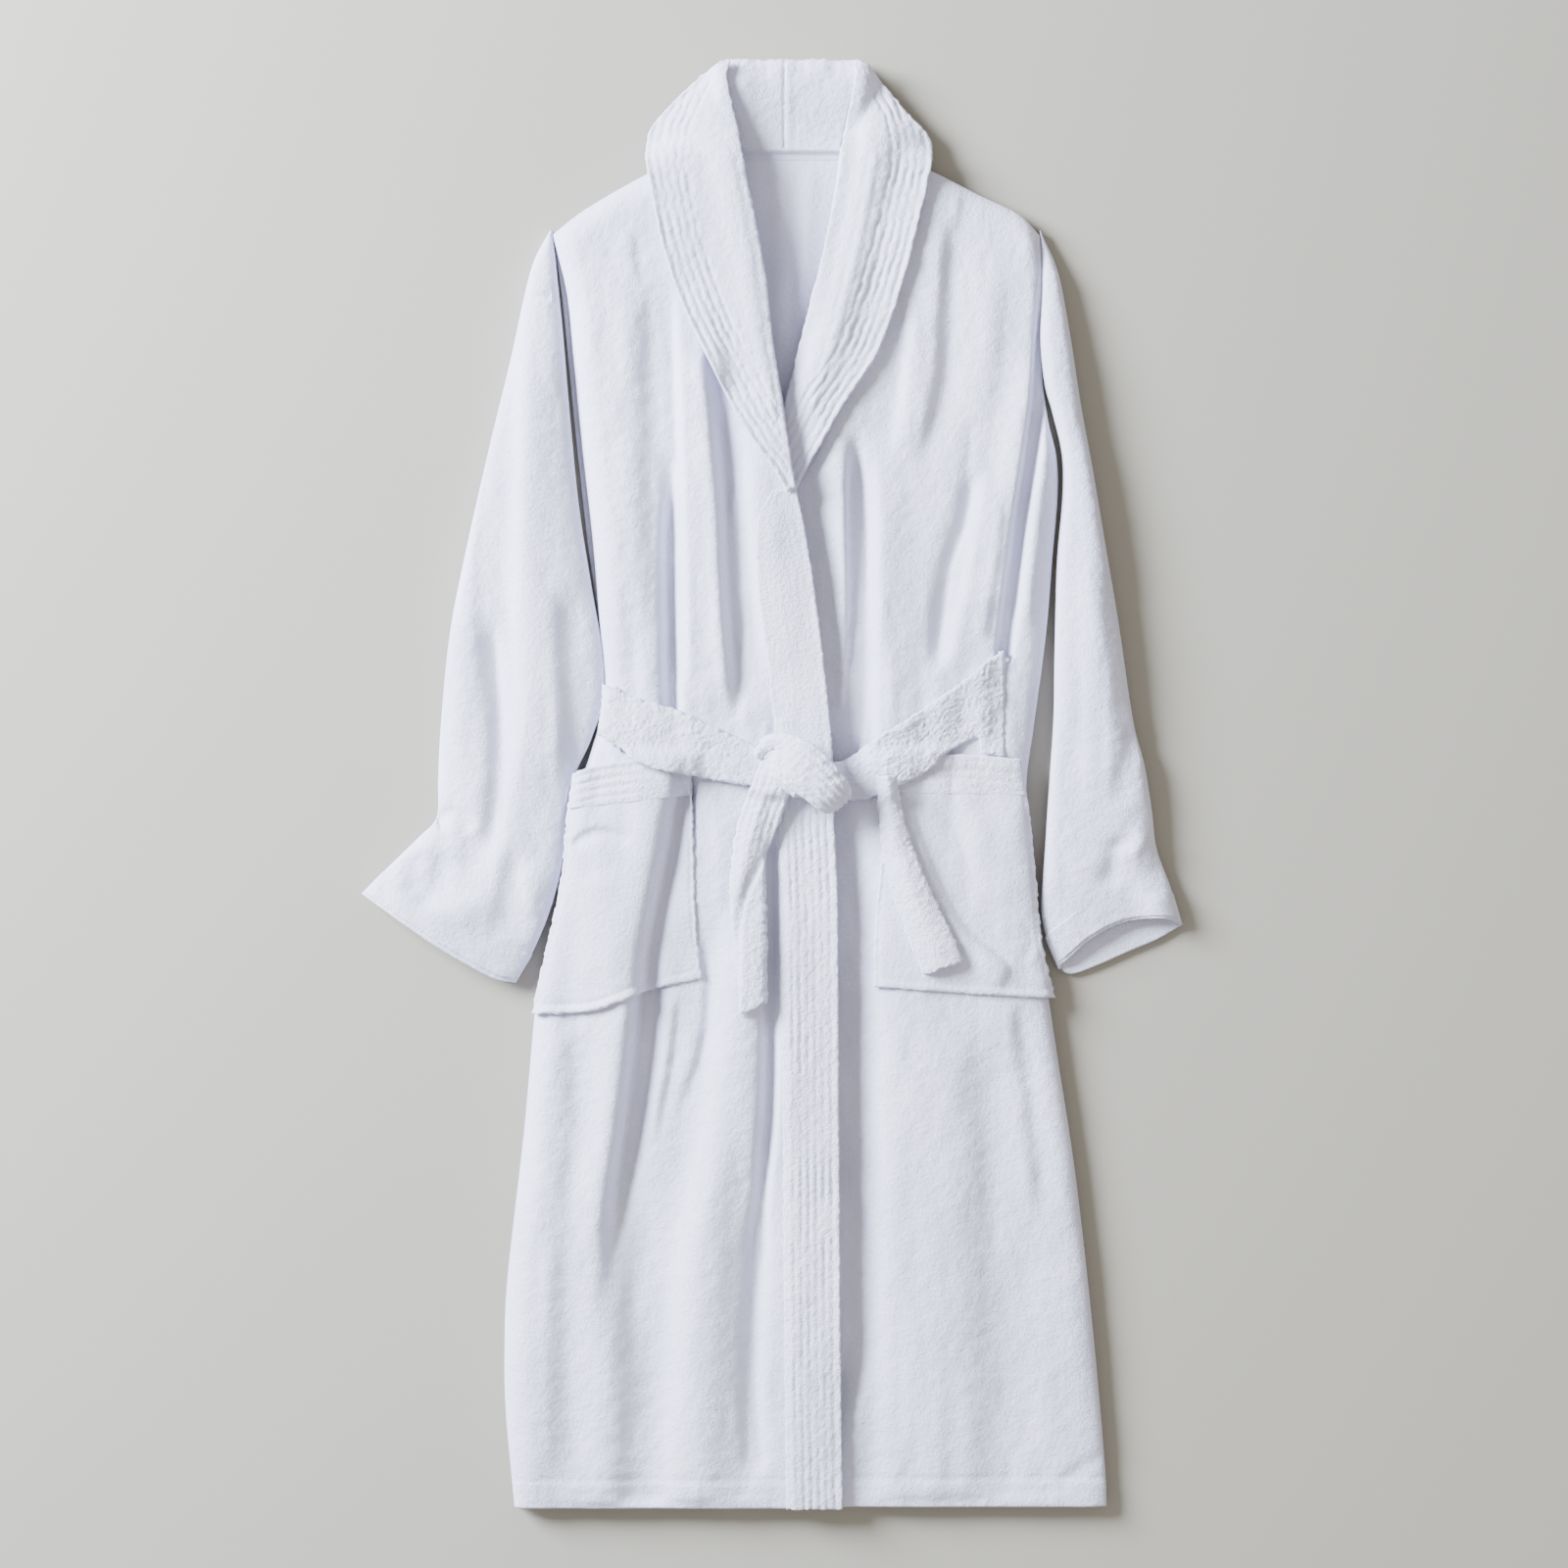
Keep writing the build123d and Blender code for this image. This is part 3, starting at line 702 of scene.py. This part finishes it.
RIGHT_FRONT_DROPS = [
    ([(-126, 500), (-124, 475), (-120, 445)], 4, 10, 14, 5, (0.25, 0.3)),
    ([(-118, 480), (-116, 390), (-115, 300), (-112, 200), (-110, 110)], 13, 26, 44, 13, (0.2, 0.25)),
    ([(-90, 460), (-87, 400), (-84, 320), (-82, 260), (-80, 180), (-78, 80)], -10, 18, 8, 3.5, (0.2, 0.1)),
    ([(-64, 400), (-56, 358), (-50, 300), (-46, 250), (-44, 200), (-41, 150), (-37, 100), (-33, 60)],
     21, 22, 20, 6, (0.12, 0.12)),
    ([(-30, 330), (-25, 270), (-20, 210), (-13, 150), (-5, 90)], -8, 30, 12, 7, (0.2, 0.2)),
    # skirt
    ([(-182, -205), (-184, -300), (-192, -420), (-194, -520), (-190, -630)], 13, 30, 34, 14, (0.1, 0.1)),
    ([(-89, 25), (-98, -45), (-109, -100), (-118, -150), (-121, -195), (-126, -240), (-131, -285),
      (-138, -330), (-146, -380), (-150, -430), (-152, -500)], 28, 24, 38, 9.5, (0.06, 0.35)),
    ([(-128, -330), (-132, -400), (-134, -480), (-134, -560), (-136, -645)], 18, 30, 40, 15,
     (0.25, 0.02)),
    ([(-44, -90), (-48, -180), (-54, -260), (-66, -330), (-80, -400), (-86, -470), (-90, -560),
      (-94, -645)], -21, 44, 34, 17, (0.12, 0.02)),
    ([(-66, -130), (-61, -195), (-68, -240), (-80, -275), (-90, -310)], 6, 9, 12, 4, (0.15, 0.35)),
    ([(-86, -185), (-92, -240), (-101, -290), (-108, -330)], 6, 9, 10, 3.5, (0.1, 0.35)),
    ([(-34, -300), (-40, -380), (-44, -450), (-46, -520), (-46, -640)], 8, 30, 30, 16, (0.2, 0.02)),
]


# ---------------- collar
RIGHT_LAPEL_OUTER = [
    (12, 262), (-1, 284), (-17, 306), (-35, 335), (-52, 368), (-67, 398), (-82, 432), (-94, 465),
    (-103, 500), (-109, 532), (-114, 562), (-111, 585), (-99, 602), (-77, 625), (-57, 641), (-45, 648),
]
RIGHT_LAPEL_ROLL = [
    (20, 266), (16, 290), (9, 335), (4, 370), (-1, 400), (-6, 450), (-15, 500), (-25, 550),
    (-31, 585), (-38, 615), (-41, 635), (-38, 647),
]
RIGHT_ROW_LINE = [(-114, 562), (-110, 590), (-97, 620), (-84, 650)]
LEFT_LAPEL_OUTER = [
    (14, 252), (30, 284), (44, 308), (60, 336), (75, 359), (91, 383), (106, 420), (120, 465),
    (130, 505), (139, 545), (142, 565), (139, 583), (122, 600), (101, 625), (86, 643), (77, 648),
]
LEFT_LAPEL_ROLL = [
    (-6, 262), (4, 310), (12, 350), (22, 390), (33, 432), (45, 480), (57, 540), (62, 578),
    (69, 612), (73, 635), (71, 647),
]
LEFT_ROW_LINE = [(142, 565), (139, 590), (126, 620), (112, 650)]


def lapel(side, outer, roll, row_line, outer_is_left, crown, roll_width):
    """A collar's fall turned back on the front: high along its roll and flat at its outer edge.

    crown is the height of the roll, and roll_width is how far it curves down towards the neck.
    """
    left, right = (outer, roll) if outer_is_left else (roll, outer)
    grid = Grid(left, right, [left[0], right[0]], [left[-1], right[-1]], step=1.5, step_along=2.4)
    x, y = grid.x, grid.y
    from_outer = grid.from_left if outer_is_left else grid.from_right
    from_roll = grid.from_right if outer_is_left else grid.from_left
    share = grid.U if outer_is_left else 1 - grid.U
    top = np.interp(y, [250, 290, 340, 560, 600, 630, COLLAR_TOP],
                    [crown - 8, crown - 4, crown, crown - 3, 24, 19, 14])
    outer_z = np.interp(y, [250, 545, 585, 645], [0, 0, 12, 9])
    rise = np.sin(np.pi / 2 * np.clip(share * 1.12, 0, 1)) ** 0.9
    floor = outer_z + (top - outer_z) * rise
    curl = smooth(from_roll / roll_width) if roll_width > 20 else rounded(from_roll, roll_width)
    floor = floor - 0.65 * roll_width * (1 - curl)
    straight_on = np.interp(y, [p[1] for p in row_line], [p[0] for p in row_line])
    across = np.where(y > 560, np.abs(x - straight_on) + 0.5, from_outer)
    along_rows = from_outer + (across - from_outer) * smooth((y - 555) / 30)
    uneven = 0.85 + 0.55 * noise(x, y, 24, 3)
    ribs = rows(along_rows + 1.2 * noise(x, y, 9, 5), 5.5, 7.6, 5, 1.25, 1.7) * uneven
    ribs = ribs * smooth(from_roll / 10) * smooth((650 - y) / 40)
    lip = 1.0 * np.exp(-(from_outer / 3.5) ** 2)
    inset = Grid(left, right, step=3.2)
    under_floor = sample_like(grid, floor, inset) - 4.0
    piece = lay(side + "_under_collar", inset, 2.4, stiffness=8, floor=under_floor)
    made_of(VELOUR, piece)
    on_robe(piece, (0.11, 0.42), held="folded", rests_on=[side + "_front_panel"], area=0.032)
    relief = 2.0 + ribs + lip + loops(x, y, 0.25 + 0.35 * (along_rows < 42)) + 0.5 * brushed(x, y)
    piece = lay(side + "_upper_collar", grid, 3.2, stiffness=5, relief=relief, floor=floor + relief,
                ruffle=0.8)
    made_of(VELOUR, piece)
    on_robe(piece, (0.11, 0.42), held="folded", rests_on=[side + "_under_collar"], area=0.032)


def sample_like(grid, values, other):
    """Values of one grid at the same shares of another."""
    rows_at = np.stack([np.interp(other.u, grid.u, row) for row in values])
    return np.stack([np.interp(other.v, grid.v, column) for column in rows_at.T], 1)


# ---------------- pockets
POCKET_BAND_DEPTH = 32


def pocket(side, left, right, bottom, top, folds, drops, held_rows, proud):
    """A patch pocket and the band along its mouth.

    held_rows and proud give, at each x, how deep the band's stitching is and how far the pocket
    stands off the front.
    """
    grid = Grid(left, right, bottom, top, step=1.9)
    x, y = grid.x, grid.y
    relief = relief_of(x, y, folds, drops) + 0.4 * brushed(x, y)
    relief = relief + 0.6 + rows(grid.edge("lr"), 3.5, 5, 1, 0.9, 1.2)
    welt = 2.0 * np.exp(-((grid.from_bottom - 3) / 3.0) ** 2)
    welt = (welt - 1.2 * np.exp(-((grid.from_bottom - 8.5) / 1.8) ** 2)) * (0.3 + 0.7 * proud(x))
    relief = relief + 1.4 * proud(x) - 0.4
    mouth = 2.2 * np.exp(-((grid.from_top - 2) / 7.0) ** 2)
    piece = lay(side + "_pocket", grid, 3.4, relief=relief + welt + mouth, stiffness=4.5, gap=-1.3,
                ruffle=0.9)
    made_of(VELOUR, piece)
    on_robe(piece, (0.16, 0.20), rests_on=[side + "_front_panel"])

    inner, lower = 1.5, 0.5
    low_left, low_right = grid_point(grid, 0, inner), grid_point(grid, -1, -inner)
    band = Grid([low_left, (left[-1][0] + inner, left[-1][1] - lower)],
                [low_right, (right[-1][0] - inner, right[-1][1] - lower)],
                [low_left, low_right], [(p[0], p[1] - lower) for p in top], step=1.3)
    ribs = rows(band.from_top, 5, 8, 5, 1.2, 1.5) * held_rows(band.x)
    swell = 1.1 * smooth(band.from_bottom / 9) * smooth(band.edge("lr") / 5)
    piece = lay(side + "_pocket_band", band, 1.8, relief=(ribs + 0.5 + loops(band.x, band.y, 0.3)) * swell,
                stiffness=2, gap=-1.8)
    made_of(TERRY, piece)
    on_robe(piece, (0.032, 0.13), rests_on=[side + "_pocket"])


def grid_point(grid, column, inset):
    """The place beside one of a pocket's sides where its band ends."""
    x, y = grid.x[:, column], grid.y[:, column]
    level = y[-1] - POCKET_BAND_DEPTH
    return float(np.interp(level, y, x)) + inset, level


def pockets():
    pocket("right",
           [(-216, -203), (-204, -150), (-190, -85), (-186, -42), (-181, 12)],
           [(-64, -172), (-69, -120), (-71, -60), (-73, 24)],
           [(-216, -203), (-166, -201), (-122, -186), (-100, -179), (-64, -172)],
           [(-181, 12), (-157, 19), (-111, 25), (-73, 24)],
           [([(-181, -56), (-166, -43), (-148, -41), (-125, -50)], -3.5, 4, 7, (0.15, 0.2)),
            ([(-160, -70), (-158, -120), (-160, -180)], 2.0, 16, 16, (0.2, 0.2)),
            ([(-84, 10), (-93, -50), (-103, -100), (-111, -145), (-115, -185)], -4.0, 8, 9,
             (0.2, 0.05))],
           [([(-97, 5), (-104, -50), (-114, -100), (-121, -145), (-125, -185)], 3.0, 20, 26, 10.0,
             (0.2, 0.05)),
            ([(-136, 0), (-136, -60), (-140, -120)], 3.5, 20, 24, 10.0, (0.2, 0.3))],
           lambda x: smooth((-92 - x) / 50), lambda x: smooth((-110 - x) / 60))
    pocket("left",
           [(90, -179), (91, -120), (97, -60), (104, 26)],
           [(253, -190), (241, -140), (235, -80), (230, -30), (222, 24)],
           [(90, -179), (125, -182), (160, -184), (205, -187), (253, -190)],
           [(104, 26), (130, 28), (160, 29), (195, 27), (222, 24)],
           [([(216, -150), (214, -184)], -3.0, 11, 10, (0.5, 0.1)),
            ([(150, 10), (185, -60), (215, -110)], 2.0, 20, 22, (0.2, 0.2))],
           [([(120, -10), (138, -60), (153, -95), (170, -124), (194, -146), (224, -168)], 15.0, 26, 20,
             9.0, (0.15, 0.1))],
           lambda x: 0.35, lambda x: 0.15)


# ---------------- belt
def belt_run(name, bottom, top, lean, tuck):
    """A stretch of belt over the front. lean tips it across its width, and tuck sinks parts of it."""
    left, right = [bottom[0], top[0]], [bottom[-1], top[-1]]
    grid = Grid(left, right, bottom, top, step=1.25)
    x, y = grid.x, grid.y
    relief = 3.2 + terry_lumps(x, y) + 0.7 * noise(x, y, 16, 1)
    relief = relief - tuck(x) + lean * (grid.V - 0.5)
    relief = relief + 1.6 * rounded(grid.edge("bt"), 7)
    piece = lay(name, grid, 4.2, relief=relief, stiffness=6, gap=-2.4, ruffle=1.0)
    made_of(TERRY, piece)
    on_robe(piece, (BELT_WIDTH / 1000, 0.24), rests_on=["right_front_panel"])


def belt_tail(name, left, right, relief_at):
    """An end of the belt, which bends where it leaves the knot."""
    grid = Grid(left, right, step=1.25)
    x, y = grid.x, grid.y
    piece = lay(name, grid, 4.0, relief=relief_at(grid) + 0.8 + loops(x, y, 0.55), stiffness=6, ruffle=1.0)
    made_of(TERRY, piece)
    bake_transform(piece)


def belt():
    belt_run("belt_right_front",
             [(-156, 46), (-138, 36), (-122, 22), (-100, 14), (-77, 10), (-49, 5), (-18, 0), (8, -2)],
             [(-152, 92), (-137, 85), (-117, 77), (-88, 69), (-57, 55), (-16, 37), (8, 30)],
             -4.0, lambda x: 0)
    belt_run("belt_left_front",
             [(45, -14), (71, -13), (90, -9), (116, 2), (140, 16), (158, 32), (180, 43), (185, 36),
              (187, 29), (206, 27)],
             [(45, 20), (66, 25), (90, 42), (116, 58), (140, 74), (165, 91), (187, 109), (206, 122)],
             4.5, lambda x: 4.6 * smooth((x - 182) / 22))

    def right_relief(grid):
        x, y = grid.x, grid.y
        crease = fold(x, y, [(14, -10), (-2, -50), (-14, -75), (-24, -95), (-31, -133), (-31, -180)],
                      -2.6, 3, 6, (0.15, 0.05), 2.0)
        ridge = fold(x, y, [(-4, 0), (-22, -50), (-30, -90), (-35, -130)], 4.0, 8, 8, (0.05, 0.3), 2.0)
        ribs = rows(grid.from_left, 5, 6.5, 5, 0.8, 1.7) * smooth((y + 75) / 50)
        low = -1.0 * smooth((-60 - y) / 50) * smooth((x + 28) / 8)
        return crease + ridge + ribs + low + 5.0 * grid.U + 2.0 * rounded(grid.edge("lr"), 6)

    belt_tail("belt_right_tail",
              [(-30, -203), (-32, -165), (-36, -133), (-39, -105), (-38, -75), (-34, -42), (-24, -10),
               (-16, 12), (-8, 30)],
              [(-5, -192), (-5, -150), (-6, -100), (-7, -65), (2, -42), (16, -5), (24, 10), (30, 20)],
              right_relief)

    def left_relief(grid):
        across = np.where(grid.y < -20, grid.U ** 0.75, grid.U)
        return 4.5 * np.sin(np.pi * across ** 1.3) + 2.2 * smooth(grid.U / 0.6) - 1.2

    belt_tail("belt_left_tail",
              [(134, -168), (124, -146), (112, -114), (101, -78), (95, -40), (92, -5), (91, 10)],
              [(169, -156), (161, -134), (147, -106), (132, -72), (120, -40), (112, -8), (110, 10)],
              left_relief)


def tube(name, path, widths, heights, ribs=0.0, ribs_across=5, around=72, along=70, lump=0.9):
    """A closed, flattened roll of cloth along a line in space, ribbed lengthways."""
    cap_share, smallest = 0.05, 0.02
    line = curve(path, along)
    share = np.linspace(0, 1, along)
    width = np.interp(share, np.linspace(0, 1, len(widths)), widths)
    height = np.interp(share, np.linspace(0, 1, len(heights)), heights)
    tangent = np.gradient(line, axis=0)
    tangent /= np.linalg.norm(tangent, axis=1, keepdims=True)
    across = np.cross(tangent, np.array((0, 0, 1.0)))
    across /= np.linalg.norm(across, axis=1, keepdims=True)
    out = np.cross(across, tangent)
    cap = rounded(share, cap_share) * rounded(1 - share, cap_share)
    cap = np.maximum(cap, smallest)
    theta = np.linspace(0, 2 * np.pi, around, endpoint=False)
    a = np.cos(theta)
    b = np.sign(np.sin(theta)) * np.abs(np.sin(theta)) ** 0.75
    wave = ribs * np.cos(a * np.pi * ribs_across) * np.maximum(np.sin(theta), 0) ** 0.5
    ring_a = a[None] * (width * cap / 2)[:, None]
    ring_b = b[None] * (height * cap / 2)[:, None] + wave[None] * cap[:, None]
    points = line[:, None] + across[:, None] * ring_a[..., None] + out[:, None] * ring_b[..., None]
    lumps = loops(points[..., 0] + 2 * points[..., 2], points[..., 1] + points[..., 2], lump)
    points = points + out[:, None] * lumps[..., None]
    index, quads = ring_faces(along, around)
    faces = quads.tolist() + [index[0][::-1].tolist(), index[-1].tolist()]
    return mesh_object(name, points.reshape(-1, 3), faces)


def join(pieces, name):
    """One object from several, keeping the first one's place."""
    for piece in bpy.context.selected_objects:
        piece.select_set(False)
    for piece in pieces:
        piece.select_set(True)
    bpy.context.view_layer.objects.active = pieces[0]
    bpy.ops.object.join()
    pieces[0].name = name + "_cloth"
    return pieces[0]


def knot():
    core = tube("core", [(2, 16, 40), (25, 12, 44), (46, 2, 40)], [32, 46, 32], [22, 30, 24], 0, 3)
    wrap = tube("wrap", [(-6, 27, 36), (3, 29, 46), (20, 21, 56), (37, 8, 58), (51, -6, 54), (58, -14, 42)],
                [30, 40, 44, 42, 38, 30], [14, 13, 13, 14, 17, 18], 0.75, 6)
    ear = tube("ear", [(-14, 26, 40), (-10, 33, 45), (-2, 37, 48), (8, 37, 48), (16, 33, 46)],
               [10, 11, 11, 10, 8], [9, 9, 9, 8, 7], 0.3, 2, around=32, along=36)
    piece = join([wrap, core, ear], "belt_knot")
    made_of(TERRY, piece)
    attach(piece, "robe_body")


def belt_loops():
    for side, x0, x1, y0, y1 in (("right", -143, -136, 30, 92), ("left", 201, 207, 27, 121)):
        grid = Grid([(x0, y0), (x0, y1)], [(x1, y0), (x1, y1)], step=1.3)
        piece = lay(side + "_belt_loop", grid, 1.2, stiffness=0, gap=-1.8)
        made_of(TAPE, piece)
        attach(piece, "robe_body")


# ---------------- sleeves
RIGHT_SLEEVE_OUTER = [
    (-369, -96), (-345, -72), (-316, -44), (-301, -27), (-300, 5), (-298, 50), (-290, 134),
    (-275, 212), (-253, 309), (-236, 379), (-223, 440), (-214, 473), (-201, 498),
]
RIGHT_SLEEVE_INNER = [
    (-231, -176), (-212, -142), (-198, -106), (-187, -60), (-181, 0), (-164, 40), (-153, 75),
    (-152, 115), (-163, 180), (-174, 250), (-182, 330), (-188, 400), (-193, 450), (-198, 499),
]
LEFT_SLEEVE_OUTER = [
    (367, -124), (355, -86), (343, -54), (339, -21), (332, 21), (322, 60), (309, 147), (298, 212),
    (286, 283), (275, 344), (265, 410), (255, 462), (240, 498),
]
LEFT_SLEEVE_INNER = [
    (256, -164), (248, -146), (241, -125), (239, -103), (243, -60), (247, 0), (251, 60), (252, 120),
    (254, 200), (259, 260), (258, 300), (250, 335), (243, 360), (239, 400), (240, 440), (239, 499),
]
WALL = 4.2
CUFF_DEPTH = 30.0


def sleeve(side, outer, inner, cuff, height_at, folds, drops, recess, bulge):
    """A flattened tube of cloth with walls, open at the cuff and closed along the armhole.

    height_at gives its height at shares of its length, recess is how far the cuff's upper edge is
    drawn back, and bulge is how much its upper side is domed.
    """
    left, right = (outer, inner) if side == "right" else (inner, outer)
    rows_along, around = 300, 150
    share = np.linspace(0, 1, rows_along) ** 1.05
    edge_l = resample(curve(left, rows_along), share)
    edge_r = resample(curve(right, rows_along), share)
    bottom = curve(cuff, 400)
    length = line_length((edge_l + edge_r) / 2)
    hem = CUFF_DEPTH / length
    theta = np.linspace(0, 2 * np.pi, around, endpoint=False)
    power = 2 / 2.7
    a = np.sign(np.cos(theta)) * np.abs(np.cos(theta)) ** power
    b = np.sign(np.sin(theta)) * np.abs(np.sin(theta)) ** power
    top = np.maximum(b, 0)[None]

    def surface(inset, low, high):
        """Points of the tube, inset from its outside, between two shares of its length."""
        keep = (share >= low) & (share <= high)
        l, r = edge_l[keep], edge_r[keep]
        s = share[keep][:, None]
        half = np.linalg.norm(r - l, axis=1)[:, None] / 2
        shrink = np.clip(1 - inset / np.maximum(half, 0.1), 0.02, 2)
        u = 0.5 + 0.5 * a[None] * shrink
        flat = l[:, None] * (1 - u[..., None]) + r[:, None] * u[..., None]
        line = resample(bottom, np.clip(u[0], 0, 1))
        straight = l[0][None] * (1 - u[0][:, None]) + r[0][None] * u[0][:, None]
        flat = flat + (line - straight)[None] * np.exp(-(s[..., None] * length / 45) ** 1.5)
        if recess:
            direction = l[12] + r[12] - l[0] - r[0]
            direction = direction / np.linalg.norm(direction)
            shift = recess * np.sin(np.pi * np.clip(u, 0, 1)) ** 0.5 * np.sqrt(top)
            shift = shift * np.exp(-(s * length / 60) ** 2)
            flat = flat + shift[..., None] * direction
        x, y = flat[..., 0], flat[..., 1]
        height = np.interp(s, height_at[0], height_at[1]) / 2
        body = relief_of(x, y, folds, drops) + 0.8 * brushed(x, y)
        z = height + (height - inset) * b[None]
        z = z + (body + bulge * (1 - (2 * u - 1) ** 2)) * smooth(top * 1.6)
        z = z + 0.4 * noise(x, y, 30, 4) * (b[None] < 0)
        return np.stack([x, y, np.maximum(z, 0.3 + inset)], -1)

    def tube_mesh(name, grow, wall, low, high):
        outside = surface(-grow, low, high)
        inside = surface(wall - grow, low, high)[::-1]
        loop = np.concatenate([outside, inside])
        index, quads = ring_faces(loop.shape[0], around)
        last = np.stack([index[-1], np.roll(index[-1], -1), np.roll(index[0], -1), index[0]], -1)
        return mesh_object(name, loop.reshape(-1, 3), np.vstack([quads, last]).tolist())

    arm = tube_mesh(side + "_sleeve", 0.0, WALL, hem * 0.45, 1.0)
    made_of(VELOUR, arm)
    cuff_piece = tube_mesh(side + "_cuff_hem", 0.9, WALL + 1.6, 0.0, hem)
    made_of(VELOUR, cuff_piece)
    return arm, cuff_piece


RIGHT_SLEEVE_FOLDS = [
    ([(-253, 160), (-247, 100), (-244, 50), (-245, 0), (-250, -40), (-258, -80)], -7, 6, 10,
     (0.2, 0.25)),
    ([(-198, 438), (-222, 438)], -1.6, 3, 3, (0.05, 0.05)),
    ([(-302, -30), (-285, -25), (-265, -42)], -4, 8, 10, (0.02, 0.3)),
    ([(-286, -128), (-272, -100), (-262, -70)], 3.5, 14, 14, (0.2, 0.3)),
    ([(-318, -112), (-304, -88), (-290, -55)], -5, 14, 12, (0.2, 0.3)),
    ([(-325, -100), (-320, -75), (-310, -55)], -3, 9, 9, (0.2, 0.3)),
    ([(-205, -150), (-215, -110), (-212, -60)], 3.5, 12, 12, (0.2, 0.3)),
    ([(-262, -30), (-268, -70), (-272, -110)], -6, 18, 22, (0.3, 0.3)),
]
RIGHT_SLEEVE_DROPS = [
    ([(-262, 280), (-266, 180), (-264, 100), (-262, 40)], 6, 16, 30, 9, (0.25, 0.25)),
    ([(-226, 440), (-229, 300), (-230, 200), (-230, 100), (-228, 30), (-232, -50)],
     -13, 26, 22, 9, (0.2, 0.25)),
    ([(-194, 190), (-190, 110), (-186, 50), (-186, -10)], 11, 26, 30, 9, (0.2, 0.25)),
    ([(-236, -40), (-244, -90), (-252, -140)], 9, 26, 24, 10, (0.3, 0.3)),
]
LEFT_SLEEVE_FOLDS = [
    ([(326, 60), (315, 20), (309, -25)], -4, 10, 10, (0.2, 0.3)),
    ([(312, -40), (304, -70), (297, -95)], -4.5, 10, 10, (0.25, 0.3)),
    ([(335, -40), (320, -58), (300, -60)], 3, 9, 9, (0.2, 0.3)),
    ([(350, -128), (346, -105), (338, -75)], 8, 15, 18, (0.02, 0.6)),
]
LEFT_SLEEVE_DROPS = [
    ([(272, 320), (276, 200), (278, 100), (278, 20), (276, -60)], -8, 36, 20, 12, (0.2, 0.25)),
    ([(292, 200), (302, 100), (308, 30)], 5, 26, 26, 10, (0.25, 0.3)),
]


def sleeves():
    arm, hem = sleeve("right", RIGHT_SLEEVE_OUTER, RIGHT_SLEEVE_INNER,
                      [(-369, -96), (-345, -113), (-322, -129), (-298, -145), (-276, -158), (-250, -172),
                       (-231, -176)],
                      ([0, 0.1, 0.3, 0.8, 0.93, 1.0], [18, 27, 28, 27, 20, 8]),
                      RIGHT_SLEEVE_FOLDS, RIGHT_SLEEVE_DROPS, 0.0, 2.5)
    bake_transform(arm)
    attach(hem, "right_sleeve")
    arm, hem = sleeve("left", LEFT_SLEEVE_OUTER, LEFT_SLEEVE_INNER,
                      [(256, -164), (269, -168), (292, -160), (319, -148), (345, -137), (367, -124)],
                      ([0, 0.05, 0.12, 0.25, 0.4, 0.8, 0.93, 1.0], [13, 17, 22, 26, 28, 26, 18, 7]),
                      LEFT_SLEEVE_FOLDS, LEFT_SLEEVE_DROPS, 27.0, 2.0)
    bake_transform(arm)
    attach(hem, "left_sleeve")


belt_back()
back_panel()
neck()
left_front()
lapel("left", LEFT_LAPEL_OUTER, LEFT_LAPEL_ROLL, LEFT_ROW_LINE, False, 36.0, 33)
right_front()
lapel("right", RIGHT_LAPEL_OUTER, RIGHT_LAPEL_ROLL, RIGHT_ROW_LINE, True, 37.0, 15)
pockets()
belt()
belt_loops()
knot()
sleeves()


# ---------------- floor and light
def plain(name, colour, roughness):
    material = bpy.data.materials.new(name)
    material.use_nodes = True
    shader = material.node_tree.nodes["Principled BSDF"]
    shader.inputs["Base Color"].default_value = colour + (1,)
    shader.inputs["Roughness"].default_value = roughness
    shader.inputs["Specular IOR Level"].default_value = 0.1
    return material


def make_floor():
    bpy.ops.mesh.primitive_plane_add(size=14, location=(0, 0, -0.0005))
    floor = bpy.context.object
    floor.name = "floor"
    floor.data.materials.append(plain("floor", (0.35, 0.33, 0.28), 0.9))


def area_light(name, place, size, power, colour):
    data = bpy.data.lights.new(name, "AREA")
    data.shape = "DISK"
    data.size = size
    data.energy = power
    data.color = colour
    light = bpy.data.objects.new(name, data)
    light.location = place
    light.rotation_euler = (-Vector(place)).to_track_quat("-Z", "Y").to_euler()
    bpy.context.scene.collection.objects.link(light)


def make_light():
    area_light("key", (-2.9, 1.6, 1.75), 1.9, 980, (0.80, 0.87, 1.0))
    area_light("fill", (0.8, -1.0, 3.4), 3.0, 10, (0.97, 0.98, 1.0))
    world = bpy.data.worlds.new("world")
    world.use_nodes = True
    back = world.node_tree.nodes["Background"]
    back.inputs["Color"].default_value = (1.0, 0.96, 0.905, 1)
    back.inputs["Strength"].default_value = 0.72
    bpy.context.scene.world = world


make_floor()
make_light()
